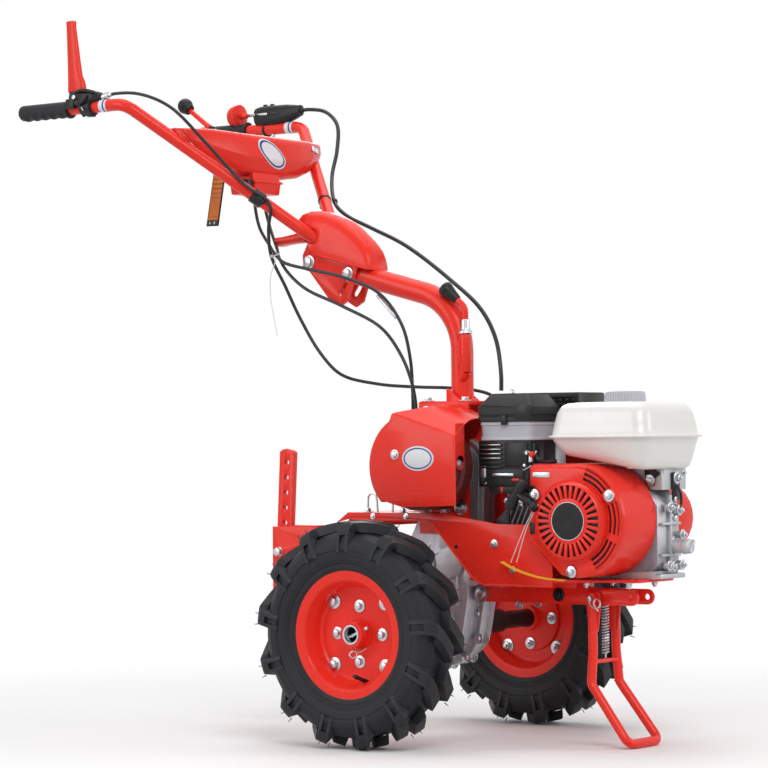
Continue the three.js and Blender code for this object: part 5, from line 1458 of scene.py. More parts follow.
fan_housing()
recoil_starter()
starter_grip()
tank()
fuel_cap()
tank_brackets()
engine_block()
oil_filler()
air_cleaner()
control_box()
fuel_parts()
muffler()


# ---------------------------------------------------------------- belt drive and column
SHAFT_Y, SHAFT_Z = middle("pto_pulley").y, middle("pto_pulley").z
PULLEY_RADIUS = (corners("pto_pulley")[1].z - corners("pto_pulley")[0].z) / 2
COVER_RADIUS = PULLEY_RADIUS + 16
COVER_BADGE = -50.4, 313.8
COLUMN_Y = -33
POST_Y = -51
COVER_OUTER = corners("pto_cover")[0].x
COVER_INNER = corners("pto_cover")[1].x


def round_the_shaft(radius, start, end, steps):
    """Points on a circle round the input shaft, in degrees; 0 points rearwards."""
    return [(
        SHAFT_Y + radius * math.cos(math.radians(start + (end - start) * i / steps)), SHAFT_Z + radius
        * math.sin(math.radians(start + (end - start) * i / steps))) for i in range(steps + 1)]


def oval(y, z, half_long, half_high, steps=48):
    return [
        (y + half_long * math.cos(math.tau * i / steps), z + half_high * math.sin(math.tau * i / steps))
        for i in range(steps)]


def sheet_skin(name, rows, beyond_last, thickness):
    """Open sheet through rows of points, given a thickness.

    Its last row is filled flat, out to the points beyond it."""
    points = [at(*p) for row in rows for p in row] + [at(*p) for p in beyond_last]
    faces = strips(rows, len(rows[0]) - 1) + [tuple(range((len(rows) - 1) * len(rows[0]), len(points)))]
    piece = outward(from_faces(name, points, faces))
    return modified(piece, "SOLIDIFY", thickness=thickness * MM, offset=0)


def pto_cover():
    """Sheet cover of the sheave: flat outside, its top rolled inwards, open in front and below."""
    front = corners("pto_cover")[0].y + 1
    face_x = COVER_OUTER + 1.3
    rows = []
    for x, fall, inset in (
            (COVER_INNER - 1, 0.0, 0.0), (-96, 0.0, 0.0), (-112, 0.04, 0.0), (-124, 0.14, 0.0),
            (-135, 0.3, 0.0), (-146, 0.52, 0.0), (-156, 0.75, 0.0), (-163, 0.9, 0.5), (-167.3, 0.97, 1.6),
            (face_x, 1.0, 4.5)):
        radius = COVER_RADIUS - 1.3 - inset
        top_front = (front, SHAFT_Z + PULLEY_RADIUS + 3 - 30 * fall - inset)
        top_back = (SHAFT_Y - 30 + 74 * fall, SHAFT_Z + PULLEY_RADIUS + 28.7 - 14 * fall - inset * 0.7)
        slope = [Vector(top_front).lerp(Vector(top_back), i / 12) for i in range(12)]
        crown = round_the_shaft(radius, 66 - 8 * fall, -43, 40)
        rows.append(
            [(x, y, z) for y, z in rounded([*slope, Vector(top_back)], 1, closed=False, steps=2)]
            + [(x, y, z) for y, z in crown])
    lowest = [
        (face_x, SHAFT_Y + 22, SHAFT_Z - PULLEY_RADIUS + 7), (face_x, front, SHAFT_Z - PULLEY_RADIUS + 10)]
    shell = bevelled(sheet_skin("cover", rows, lowest, 2.2), 0.5, 2, 50)
    smooth(shell, 38)
    wall = plate("wall", rounded([
        (SHAFT_Y + 60, SHAFT_Z - 70), (SHAFT_Y + 92, SHAFT_Z), (SHAFT_Y + 56, SHAFT_Z + 70),
        (SHAFT_Y - 30, SHAFT_Z + 106), (front + 18, SHAFT_Z + 84), (front + 30, SHAFT_Z + 50),
        (SHAFT_Y + 30, SHAFT_Z + 30), (SHAFT_Y + 30, SHAFT_Z - 70)], 10),
        COVER_INNER - 2.5, COVER_INNER - 0.6, [], 0.6)
    tab = block("tab", -165, -137, front + 0.6, front + 3, SHAFT_Z + 6, SHAFT_Z + 77, 1.0)
    foot = rod(
        "foot", (-151, front + 0.6, SHAFT_Z + 6), (-151, front + 3, SHAFT_Z + 6), 13.5, vertices=32,
        bevel=0.6)
    hem = pipe("hem", [
        (face_x + 0.4, front + 0.8, SHAFT_Z - PULLEY_RADIUS + 11), (face_x + 0.4, front + 0.8, SHAFT_Z + 50),
        (-158, front + 0.8, SHAFT_Z + 61)], 1.7, 12)
    crease = pipe(
        "crease", [(COVER_OUTER + 0.9, SHAFT_Y + 52, SHAFT_Z - 47),
            (COVER_OUTER + 0.9, front + 6, SHAFT_Z - 55)], 1.1, 8)
    install(
        joined("pto_cover_skin", shell, wall, tab, foot, hem, crease), "machine", "red_paint", "pto_cover")
    x = COVER_OUTER
    screws = [
        rod("screw", (x + 0.6, 1.6, 321), (x - 1.2, 1.6, 321), 9.5, 9, 32, 0.5),
        rod("screw", (x - 1.2, 1.6, 321), (x - 5.5, 1.6, 321), 7.5, 5.5, 32, 1.2),
        hexagon_bolt("bolt", (-156, front + 0.6, SHAFT_Z + 4), (0, -1, 0), 9, 4, washer=7),
        hexagon_bolt("bolt", (COVER_INNER - 18, SHAFT_Y - 60, SHAFT_Z + 92), (0, -0.3, 1), 10, 4)]
    install(joined("pto_cover_screws", *screws), "machine", "zinc")
    badge = plate("pto_badge", oval(*COVER_BADGE, 35, 22.5), x - 0.6, x + 0.6, bevel=0.15)
    refinished(install(badge, "machine", "tank_white"), DIAL)
    edge = plate(
        "pto_badge_ring", oval(*COVER_BADGE, 31.6, 19.6), x - 0.85, x - 0.5, [oval(*COVER_BADGE, 29, 17.2)],
        0.1)
    refinished(install(edge, "machine", "cap_grey"), DIAL_EDGE)


def pto_pulley():
    """Wide sheave with two belt grooves near its outer side and a dished web."""
    centre = (0, SHAFT_Y, SHAFT_Z)
    r = PULLEY_RADIUS
    outer, inner = -153.5, -88
    rim = turned("rim", rounded([
        (outer + 6, r - 22), (outer, r - 18), (outer, r - 2), (outer + 2, r), (outer + 5, r),
        (outer + 12, r - 9), (outer + 19, r), (outer + 25, r), (outer + 32, r - 9), (outer + 39, r),
        (inner - 3, r), (inner, r - 2), (inner, r - 9), (outer + 30, r - 20), (outer + 6, r - 22)],
        1.2, closed=False), centre)
    web = turned("web", rounded([
        (outer + 30, 0), (outer + 30, 22), (outer + 22, 26), (outer + 12, r - 24), (outer + 12, r - 12),
        (outer + 18, r - 12), (outer + 20, r - 26), (outer + 34, 26), (-92, 26), (-92, 15),
        (COVER_INNER, 15), (COVER_INNER, 0)], 2.5, closed=False), centre)
    nut = [
        rod("nut", (outer + 30, SHAFT_Y, SHAFT_Z), (outer + 17, SHAFT_Y, SHAFT_Z), 14, vertices=6, bevel=1),
        rod("end", (outer + 17, SHAFT_Y, SHAFT_Z), (outer + 11, SHAFT_Y, SHAFT_Z), 7, vertices=28, bevel=1)]
    install(joined("pto_pulley_skin", rim, web), "machine", "maroon_paint", "pto_pulley")
    install(joined("pto_pulley_nut", *nut), "machine", "zinc")


def drive_cover():
    """Pressed cover of the main belt on the left side, with a raised panel and its screws."""
    low, high = corners("drive_cover")
    skin = dressed("drive_cover", 6, segments=4)
    front_y, front_z, rear_y, rear_z = CRANK[0], CRANK[1], SHAFT_Y, SHAFT_Z
    lean = math.atan2(rear_z - front_z, rear_y - front_y)

    def panel(rear_radius, front_radius):
        around = [
            (rear_y + rear_radius * math.cos(a), rear_z + rear_radius * math.sin(a))
            for a in (lean - math.pi / 2 + math.pi * i / 24 for i in range(25))]
        around += [
            (front_y + front_radius * math.cos(a), front_z + front_radius * math.sin(a))
            for a in (lean + math.pi / 2 + math.pi * i / 20 for i in range(21))]
        return around

    raised = plate("panel", panel(72, 44), high.x - 0.5, high.x + 2.5, bevel=1.2)
    hem = pipe(
        "hem", [(low.x + 1.5, y, z) for y, z in panel(COVER_RADIUS - 0.6, 66 - 0.6)]
        + [(low.x + 1.5, *panel(COVER_RADIUS - 0.6, 66 - 0.6)[0])], 1.7, 8)
    install(joined("drive_cover_skin", skin, raised, hem), "machine", "red_paint", "drive_cover")
    screws = [
        hexagon_bolt("bolt", (high.x, y, z), (1, 0, 0), 11, 5) for y, z in
        ((rear_y + 84, rear_z), (rear_y, rear_z + 84), (rear_y, rear_z - 84), (front_y - 54, front_z),
            ((front_y + rear_y) / 2, (front_z + rear_z) / 2 + 66))]
    install(joined("drive_cover_bolts", *screws), "machine", "zinc")


def column_bracket():
    """Upright cheeks and top plate that carry the column, with sloping gussets and a weld bead."""
    low, high = corners("column_bracket")
    skin = dressed("column_bracket", 1.4)
    top = high.z
    parts = [plate(
        "gusset", rounded([(-50, top - 2), (-50, top + 3), (-22, top + 26), (-18, top + 26), (-18, top - 2)],
            3), x, x + 4, [], 0.8) for x in (-32, 28)]
    apron = skin_through("apron", [
        [(x, low.y + y, top + z) for x, z in ((-53, -1), (53, -1), (53, 2), (-53, 2))]
        for y in (0.5, 4, 108, 111)])
    parts.append(bevelled(apron, 1.2))
    parts.append(pipe("weld", [
        (24.5 * math.cos(a), COLUMN_Y + 24.5 * math.sin(a), top + 2.6 + 0.7 * math.sin(9 * a))
        for a in (math.tau * i / 60 for i in range(61))], 3.2, 10))
    collar = upright("collar", [(-1, 21), (-1, 27), (4, 27), (6, 24), (6, 21)], (0, COLUMN_Y, top))
    install(joined("column_bracket_skin", skin, collar, *parts), "machine", "red_paint", "column_bracket")
    heads = [
        hexagon_bolt("bolt", (side * 53.3, y, z), (side, 0, 0), 15, 7)
        for side in (-1, 1) for y, z in ((-66, 396), (12, 396), (-64, 222), (14, 222))]
    heads += [hexagon_bolt("bolt", (x, y, top + 2), (0, 0, 1), 13, 6) for x in (-42, 42) for y in (-68, 16)]
    install(joined("column_bracket_bolts", *heads), "machine", "zinc")


SLOPE = math.radians(15)
PIVOT = Vector((0, middle("pivot_bolt").y, middle("pivot_bolt").z))
COLUMN_CORNER_Z = PIVOT.z - (PIVOT.y - COLUMN_Y) * math.tan(SLOPE)


def steering_column():
    top = corners("column_bracket")[1].z
    end = PIVOT + Vector((0, 20 * math.cos(SLOPE), 20 * math.sin(SLOPE)))
    tube = pipe(
        "tube", bent([(0, COLUMN_Y, top + 0.4), (0, COLUMN_Y, COLUMN_CORNER_Z), tuple(end)], 130, 28), 21.2,
        40)
    post_top = corners("pto_lever")[0].z
    x, y = middle("pto_lever").x, POST_Y
    post = [
        rod("post", (x, y, top + 56), (x, y, post_top - 5), 11, vertices=36, bevel=0.8),
        rod("toe", (x, y, top + 56), (x, y + 8, top + 40), 11, 6, 32, 1),
        pipe("weld", [(x - 8, y + 8, top + 70), (x - 9.5, y + 8, top + 100), (x - 9.5, y + 8, post_top - 20)],
            3, 10)]
    install(joined("steering_column_skin", tube, *post), "machine", "red_paint", "steering_column")
    stop = rod(
        "column_plug", tuple(end - Vector((0, 0.5, 0.1))), tuple(end + Vector((0, 1.5, 0.4))), 20,
        vertices=40, bevel=0.8)
    install(stop, "machine", "black_plastic")
    bush = upright("post_bush", rounded(
        [(0, 6.6), (0, 12.5), (1.6, 13.4), (5.5, 12), (7.5, 8.4), (11, 8), (26, 7.6), (27, 6.6),
            (0, 6.6)], 0.8, closed=False), (x, y, post_top - 5))
    install(bush, "machine", "zinc")


def pto_lever():
    x, y = middle("pto_lever").x, POST_Y
    base = corners("pto_lever")[0].z
    corner, end = Vector((x, y, base + 44)), Vector((x, y + 17, base + 58))
    path = bent([(x, y, base), tuple(corner), tuple(end)], 26, 12)
    bar = pipe("pto_lever_skin", path, 6, 28)
    install(bar, "machine", "red_paint", "pto_lever")
    along = (end - corner).normalized()
    start, finish = end + along * 0.5, end + along * 40
    sections = [
        (0, 7.4), (0.05, 8.6), (0.45, 11), (0.72, 13.2), (0.78, 14.2), (0.94, 14.2), (0.985, 12.8), (1, 10.5)]
    side = Vector((1, 0, 0))
    up = along.cross(side)
    knob = skin_through("pto_knob_skin", [[
        tuple(start.lerp(finish, t) + side * r * math.cos(a) + up * r * math.sin(a))
        for a in (math.tau * i / 40 for i in range(40))] for t, r in sections])
    disc = rod("disc", tuple(finish - along * 0.6), tuple(finish + along * 0.8), 9.6, 9, 32, 0.5)
    install(joined("pto_knob_skin", knob, disc), "machine", "black_plastic", "pto_knob")
    dot = rod("pto_knob_dot", tuple(finish + along * 0.5), tuple(finish + along * 1.2), 1.8, vertices=16)
    install(dot, "machine", "cap_grey")


def cross_bolt(name, node, across):
    """Through bolt across X with a hexagon head, a nut and washers, filling its node's length."""
    low, high = corners(node)
    y, z = middle(node).y, middle(node).z
    radius = (high.z - low.z) / 2
    shank = rod("shank", (low.x + 2, y, z), (high.x - 1, y, z), radius, vertices=28, bevel=0.6)
    ends = []
    for side, edge in ((-1, low.x), (1, high.x)):
        seat = side * 27.4
        ends += [
            rod("washer", (seat, y, z), (seat + side * 1.8, y, z), across * 0.72, vertices=36, bevel=0.4),
            rod("hex", (seat + side * 1.8, y, z), (edge, y, z), across / FLATS_PER_RADIUS, vertices=6,
                bevel=0.8)]
    return install(joined(name, shank, *ends), "machine", "zinc", node)


pto_cover()
pto_pulley()
drive_cover()
column_bracket()
steering_column()
pto_lever()
cross_bolt("pivot_bolt_skin", "pivot_bolt", 18)
cross_bolt("clamp_bolt_skin", "clamp_bolt", 16)


# ---------------------------------------------------------------- handlebar
HANDLE = {}
for side_name, side_sign in SIDES.items():
    HANDLE[side_name] = bent([
        (side_sign * 25, 290, 735), (side_sign * 52, 304.5, 754), (side_sign * 278, 555, 995),
        (side_sign * 273.8, 759.5, 995)], 45, 14)
HANDLE_X, HANDLE_Z = 278, 995


def elliptic(centre, across, up, wide, high, power=1.0, steps=36):
    """Closed ring round a centre: a circle stretched along two directions, squarer for a power below 1."""
    points = []
    for i in range(steps):
        a = math.tau * (i + 0.5) / steps
        c, s = math.cos(a), math.sin(a)
        points.append(tuple(
            centre + across * wide * math.copysign(abs(c) ** power, c)
            + up * high * math.copysign(abs(s) ** power, s)))
    return points


X_AXIS, Z_AXIS = Vector((1, 0, 0)), Vector((0, 0, 1))


def handle_tube(name):
    side = SIDES[name]
    tube = pipe("tube", HANDLE[name], 12, 32)
    tube.name = f"handle_tube_{name}_skin"
    install(tube, "handlebar", "red_paint", f"handle_tube_{name}")
    y = 604 if side < 0 else 585
    band = rod(
        f"handle_tube_{name}_label", (side * 277.1, y - 9, HANDLE_Z), (side * 276.8, y + 9, HANDLE_Z), 12.25,
        vertices=40)
    refinished(install(band, "handlebar", "tank_white"), DIAL)
    stripe = rod(
        f"handle_tube_{name}_stripe", (side * 277, y - 4.5, HANDLE_Z), (side * 276.9, y - 1, HANDLE_Z), 12.45,
        vertices=40)
    refinished(install(stripe, "handlebar", "cap_grey"), DIAL_EDGE)


def grip(name):
    """Rubber grip with finger waves underneath, an end bead and an inner flange."""
    low, high = corners(f"grip_{name}")
    side = SIDES[name]
    start, end = Vector((side * 275.2, low.y + 0.2, HANDLE_Z)), Vector((side * 272.5, high.y - 0.2, HANDLE_Z))
    rings = []
    count = 72
    for k in range(count + 1):
        t = k / count
        flange = max(0, 1 - abs(t - 0.03) / 0.04)
        close = max(0, (t - 0.95) / 0.05)
        wave = 0.5 - 0.5 * math.cos(max(0, min(1, (t - 0.1) / 0.85)) * math.tau * 5)
        centre = start.lerp(end, t)
        points = []
        for i in range(40):
            a = math.tau * i / 40
            under = max(0.0, -math.sin(a)) ** 0.7
            radius = 15.1 + 3.2 * min(1, flange * 1.6) + 2.0 * wave * under + 0.35 * (i % 2) * (1 - under)
            radius *= math.sqrt(max(0.04, 1 - close ** 2 * 0.6))
            points.append(tuple(centre + X_AXIS * radius * math.cos(a) + Z_AXIS * radius * math.sin(a)))
        rings.append(points)
    skin = skin_through("grip", rings)
    smooth(skin, 55)
    install(joined(f"grip_{name}_skin", skin), "handlebar", "grip_rubber", f"grip_{name}")


def helmet():
    """Pressed cover over the bracket plates: rounded crown, shoulders, rolled lip and a rear spout."""
    def lip_at(y):
        return 710.5 + (y - 305) * math.tan(SLOPE)

    spine = [
        (160.5, 697, 0), (161.5, 704, 0), (165, 713, 0), (172, 722, 0), (180, 731, 0), (190, 740, 0),
        (207, 755.5, 0), (226, 769, 0), (249, 780.5, 0), (273, 788, 0), (294, 791, 0), (308, 791.6, 26),
        (322, 788.5, 34), (334, 780, 38), (342, 770, 42)]
    rows = []
    for y, crown, lift in spine:
        low = lip_at(y) + lift
        nose = max(0.0, min(1.0, (y - 161) / 60))
        half = 36 * (0.86 + 0.14 * nose ** 0.5) - max(0, (y - 322)) * 0.5
        high = max(6.0, crown - low)
        row = []
        for i in range(25):
            a = math.pi * i / 24
            c, s = math.cos(a), math.sin(a)
            row.append(
                (-math.copysign(abs(c) ** 0.52, c) * half * (0.9 + 0.1 * (1 - s)), y, low + high * s ** 0.62))
        rows.append(row)
    faces = strips(rows, len(rows[0]) - 1) + end_faces(rows)
    shell = outward(from_faces("helmet", [at(*p) for row in rows for p in row], faces))
    modified(shell, "SOLIDIFY", thickness=2.2 * MM, offset=-1)
    outward(shell)
    cutters = [pipe(
        "cutter", [(side * 20, 287, 731), (side * 25, 290, 735), (side * 52, 304.5, 754),
            (side * 74, 329, 777)], 14.2, 24) for side in (-1, 1)]
    without(shell, *cutters)
    bevelled(shell, 0.6, 2, 50)
    smooth(shell, 42)
    lip = [(-33, 163), (-35.6, 190), (-36, 292)]
    beads = [pipe("lip", [(side * abs(x), y, lip_at(y) + 0.6) for x, y in lip], 1.7, 10) for side in (-1, 1)]
    beads.append(pipe("lip", [(-33, 163, lip_at(163) + 0.6), (33, 163, lip_at(163) + 0.6)], 1.7, 10))
    spout = skin_through("spout", [
        elliptic(Vector((0, y, z)), X_AXIS, Z_AXIS, wide, high, 0.7, 28) for y, z, wide,
        high in ((326, 744, 17, 13), (352, 741, 17, 10), (378, 738, 19, 9), (395, 736, 22, 9.5),
            (396, 736, 20, 7.5), (380, 738, 17, 7))])
    install(joined("bracket_cover_skin", shell, *beads, spout), "handlebar", "red_paint", "bracket_cover")


def clamp_rod():
    """Plated handle of the clamp bolt, hanging under the column."""
    bar = rod("clamp_rod", (0, 118.2, 579.5), (0, 163, 624), 3.6, vertices=28, bevel=0.8)
    install(bar, "machine", "zinc")


def clutch_perch():
    """Cast clamp with a hooded body, pivot, small trigger and cable adjuster."""
    x = -HANDLE_X
    ring_rows = [
        elliptic(Vector((x, y, HANDLE_Z)), X_AXIS, Z_AXIS, r, r, 1, 36)
        for y, r in ((632, 14), (633, 17), (658, 17), (659, 14))]
    clamp = skin_through("clamp", ring_rows)
    lug = block("lug", x - 9, x + 9, 634, 657, HANDLE_Z - 19, HANDLE_Z - 8, 2.5, 3)
    body_rows = [
        elliptic(Vector((x + dx, y, z)), X_AXIS, Z_AXIS, wide, tall, 0.72, 36) for dx, y, z, wide, tall in
        ((0, 612, 1013, 7, 6), (0, 616, 1013, 11, 9), (0, 630, 1013, 15.5, 13), (-1, 648, 1012, 17, 15),
            (-1, 664, 1012, 16.5, 14), (0, 680, 1014, 13, 11), (0, 689, 1015, 10, 8), (0, 690, 1015, 8, 6))]
    body = skin_through("body", body_rows)
    smooth(body, 50)
    boss = rod("boss", (x, 682, HANDLE_Z + 10), (x, 682, HANDLE_Z + 30.5), 12, 11, 32, 1.2)
    hood = pipe(
        "hood", flowing([(x - 15, 620, 1021), (x - 17, 640, 1026), (x - 15, 660, 1026), (x - 9, 678, 1022)],
            8), 3.2, 14)
    trigger = skin_through("trigger", [
        elliptic(Vector((x - 17 - dx, y, z)), X_AXIS, Z_AXIS, w, h, 0.8, 20) for dx, y, z, w, h in
        ((-2, 668, 1004, 3, 4), (2, 662, 1003, 4, 5), (3, 652, 1002, 4, 5), (3, 642, 1006, 3.4, 4.4),
            (2, 636, 1012, 2.6, 3.4), (2, 634, 1014, 1.6, 2))])
    foot = block("foot", x - 20, x - 12, 668, 690, 992, 1012, 3, 3)
    install(
        joined("clutch_perch_skin", clamp, lug, body, boss, hood, trigger, foot), "handlebar",
        "black_plastic", "clutch_perch")
    bright = [
        rod("screw", (x - 17.5, 668, 1014), (x - 21, 668, 1014), 5, 4, 24, 0.6),
        rod("screw", (x - 5, 646, HANDLE_Z - 20), (x - 5, 646, HANDLE_Z - 17), 4, 4, 6, 0.4),
        rod("slot", (x - 19, 648, 993), (x - 20, 643, 987), 1.4, vertices=12),
        rod("barrel", (x, 612, 1012), (x + 0.4, 603, 1013.5), 5.4, 5.4, 28, 0.6),
        rod("barrel", (x + 0.4, 603, 1013.5), (x + 0.8, 596, 1014.6), 7, 7, 14, 0.6),
        rod("barrel", (x + 0.8, 596, 1014.6), (x + 1.1, 587, 1016), 4.4, 4, 24, 0.6)]
    install(joined("clutch_perch_screws", *bright), "handlebar", "zinc")
    dot = rod("clutch_pivot", (x, 682, HANDLE_Z + 30.4), (x, 682, HANDLE_Z + 31.6), 4.5, 4, 24, 0.3)
    install(dot, "handlebar", "zinc")


def clutch_lever():
    x, base = -HANDLE_X, corners("clutch_lever")[0].z
    rows = []
    for rise, y0, y1, half in (
            (0, 657, 694, 7), (2, 654, 697, 9), (9, 654.5, 697, 9.2), (20, 657, 697, 8.6), (32, 663, 697, 8),
            (60, 668, 698, 7), (100, 674, 699.5, 6), (130, 678.5, 701, 5), (137, 678, 702, 5.2),
            (139.6, 679.5, 701, 4.4), (140.6, 683, 698, 2.6)):
        rows.append(
            elliptic(Vector((x, (y0 + y1) / 2, base + rise)), X_AXIS, Vector((0, 1, 0)), half, (y1 - y0) / 2,
                0.75, 36))
    blade = skin_through("clutch_lever_skin", rows)
    smooth(blade, 50)
    install(blade, "handlebar", "red_plastic", "clutch_lever")


def throttle():
    """Moulded throttle body with its cover bumps, clamp and plated shaft, and a knurled knob."""
    x, axis_z = HANDLE_X, HANDLE_Z + 32.5
    rows = [
        elliptic(Vector((x, y, z)), X_AXIS, Z_AXIS, wide, tall, 0.72, 40) for y, z, wide,
        tall in ((558, 1029, 7, 8), (559, 1029, 10, 11), (572, 1027, 12.5, 14.5), (592, 1024.5, 15, 19),
            (615, 1022.5, 16.6, 21.5), (640, 1022, 17, 22.5), (660, 1022, 16.6, 21.5), (671, 1022.5, 15, 19),
            (674.6, 1023, 12, 15.5), (675, 1023, 9, 12))]
    body = skin_through("body", rows)
    smooth(body, 50)
    bumps = [rod("bump", (x, y, 1040), (x, y, 1047.5), 6, 4.5, 28, 1.2) for y in (652, 634)]
    groove = rod("groove", (x - 12, 668, axis_z - 2), (x - 15.5, 606, axis_z - 3), 4.5, 2.5, 28, 1.0)
    strap = pipe("strap", [
        (x + 14 * math.cos(a), 648, HANDLE_Z + 14 * math.sin(a)) for a in
        (math.pi * (0.9 + 1.3 * i / 24) - 0.1 for i in range(25))], 2.8, 12)
    gland = rod("gland", (x, 562, 1029), (x, 552, 1029), 6.4, 5.4, 28, 0.8)
    install(
        joined("throttle_housing_skin", body, *bumps, groove, strap, gland), "handlebar", "black_plastic",
        "throttle_housing")
    clip = [
        rod("screw", (x - 2, 630, HANDLE_Z - 11), (x - 2, 630, HANDLE_Z - 17), 4.6, 4, 6, 0.5),
        rod("shank", (x - 2, 630, HANDLE_Z - 17), (x - 2, 630, HANDLE_Z - 26), 2.2, 2, 20, 0.4),
        rod("shaft", (x - 16.5, 634, axis_z - 2), (x - 12, 676, axis_z - 1), 2.6, 3.2, 24, 0.5),
        rod("shaft", (x - 12, 675, axis_z - 1), (x, 700, axis_z), 3.2, 4.2, 24, 0.5)]
    install(joined("throttle_clip", *clip), "handlebar", "zinc")
    knob = [
        rod("shank", (x, 681, axis_z), (x, 722, axis_z), 3.5, vertices=28),
        rod("neck", (x, 700, axis_z), (x, 721, axis_z), 5.2, 7, 32, 0.8)]
    knob_rows = [
        elliptic(Vector((x, y, axis_z)), X_AXIS, Z_AXIS, r, r, 1, 72) for y, r in
        ((717.6, 12), (718.4, 20), (719.5, 22.6), (723, 23.4), (730, 23.4), (736, 22), (741, 19), (745, 14.5),
            (747.6, 9), (748.6, 4))]
    disc = skin_through("disc", knob_rows)
    smooth(disc, 50)
    teeth = [block("tooth", -0.9, 0.9, 718.6, 724.6, 21.6, 24.3, 0.4, 1) for _ in range(44)]
    for i, tooth in enumerate(teeth):
        tooth.data.transform(turn_about((x, 0, axis_z), math.tau * i / 44, "Y"))
    install(joined("throttle_knob_skin", *knob, disc, *teeth), "handlebar", "red_plastic", "throttle_knob")


CONSOLE = [
    (-213, 466, 508, 920, 946), (-211, 463, 511.5, 917, 949.5), (-196, 456, 518, 909, 951.5),
    (-150, 440, 532, 893, 954), (-100, 430, 538, 877, 954), (-60, 424, 540, 868, 953),
    (0, 421, 541, 863.5, 952.5), (60, 420, 540, 863, 952), (110, 424, 538, 869.5, 952),
    (150, 432, 532, 882, 952), (190, 447, 520, 900, 951), (209, 455, 513, 912, 949.5),
    (212.5, 459, 509, 917, 946)]


def console():
    """Bulged moulding between the tubes with a box underneath, an open back and a blank badge."""
    rows = []
    for (x0, *a), (x1, *b) in zip(CONSOLE, CONSOLE[1:]):
        steps = 1 if abs(x1 - x0) < 20 else 4
        for k in range(steps):
            y0, y1, z0, z1 = (p + (q - p) * k / steps for p, q in zip(a, b))
            rows.append((x0 + (x1 - x0) * k / steps, y0, y1, z0, z1))
    rows.append(CONSOLE[-1])
    rings = []
    for x, y0, y1, z0, z1 in rows:
        tall, deep = z1 - z0, y1 - y0
        points = rounded([
            (y0 + 0.05 * deep, z1 - 0.08 * tall), (y0 + 0.5 * deep, z1), (y1 - 2, z1 - 0.05 * tall),
            (y1, z1 - 0.3 * tall), (y1 - 0.22 * deep, z0 + 0.3 * tall), (y0 + 0.55 * deep, z0 + 0.03 * tall),
            (y0 + 0.1 * deep, z0), (y0, z0 + 0.4 * tall)], 0.2 * tall, steps=5)
        rings.append([(x, y, z) for y, z in points])
    outer = skin_through("console", rings)
    smooth(outer, 60)
    modified(outer, "SOLIDIFY", thickness=2.4 * MM, offset=-1)
    tubes = [pipe("cutter", HANDLE[name], 12.8, 20) for name in SIDES]
    without(outer, block("opening", -150, 150, 512, 560, 893, 934, 0), *tubes)
    smooth(outer, 50)
    box_rows = [
        [(x, y, z) for x, y in rounded([(-w, y0), (w, y0), (w, y1), (-w, y1)], 5)] for z, w, y0,
        y1 in ((831, 37, 431, 486), (832, 39.5, 428, 489), (852, 41, 425.5, 491), (853, 44, 422.5, 494),
            (857, 44, 422.5, 494), (858, 41, 427, 492), (872, 40, 431, 490))]
    box = skin_through("box", box_rows)
    skin = joined("console_shell_skin", outer, box)
    install(skin, "handlebar", "red_plastic", "console_shell")
    blocks = [
        block("switch", -58, -40, 430, 452, 836, 858, 1.6), block("switch", -62, -56, 434, 448, 840, 854,
            1.0)]
    install(joined("console_switch", *blocks), "handlebar", "black_plastic")
    lever_boot = upright(
        "boot", rounded([(0, 5.6), (0, 15), (2, 15), (6, 8), (10, 6.4), (10, 5.6)], 0.8, closed=False),
        (-95, 490, 951))
    install(lever_boot, "handlebar", "black_plastic")
    screws = [
        rod("screw", (x, y, z), (x, y - 2.4, z + 0.3), 6.5, 5.5, 28, 0.8) for x, y, z in
        ((157.6, 434.5, 932), (182, 444.5, 930))]
    install(joined("console_screws", *screws), "handlebar", "zinc")
    for name, scale, lift, finish, slot in (
            ("console_badge_ring", 1.0, 0.4, DIAL, "tank_white"),
            ("console_badge_band", 0.9, 0.8, DIAL_EDGE, "cap_grey"),
            ("console_badge", 0.78, 1.2, DIAL, "tank_white")):
        refinished(
            install(sticker(name, skin, (9, 911), (34, -26), (21, 11), scale, lift), "handlebar", slot),
            finish)


def sticker(name, target, centre, long_way, short_way, scale, lift):
    """Oval patch laid on the target's front, seen along Y, a little above its surface."""
    deselect()
    bpy.ops.mesh.primitive_grid_add(x_subdivisions=33, y_subdivisions=33, size=2)
    patch = bpy.context.object
    for vertex in patch.data.vertices:
        u, v = vertex.co.x, vertex.co.y
        u, v = u * math.sqrt(1 - v * v / 2) * scale, v * math.sqrt(1 - u * u / 2) * scale
        vertex.co = at(
            centre[0] + u * long_way[0] + v * short_way[0], 380, centre[1] + u * long_way[1] + v
            * short_way[1])
    modified(
        patch, "SHRINKWRAP", target=target, wrap_method="PROJECT", use_project_x=False, use_project_y=True,
        use_project_z=False, use_positive_direction=True, offset=lift * MM, wrap_mode="ABOVE_SURFACE")
    patch.name = name
    modified(patch, "SOLIDIFY", thickness=0.3 * MM, offset=0)
    return smooth(outward(patch), 40)


def gear_lever():
    foot, top = Vector((-95, 493, 957.6)), Vector((-95, 544, 996))
    along = (top - foot).normalized()
    stick = joined(
        "gear_lever_skin", rod("stick", tuple(foot), tuple(top), 5, 5, 28, 0.5),
        rod("sleeve", tuple(foot + along * 1), tuple(foot + along * 14), 6.4, 5.6, 28, 0.8))
    install(stick, "handlebar", "red_paint", "gear_lever")
    ball_piece = ball("ball", (-95, 556.5, 1005.6), 15.4)
    neck = rod("neck", tuple(top + along * 0.3), tuple(top + along * 7), 10, 13, 36, 0.8)
    install(joined("gear_knob_skin", ball_piece, neck), "handlebar", "black_plastic", "gear_knob")


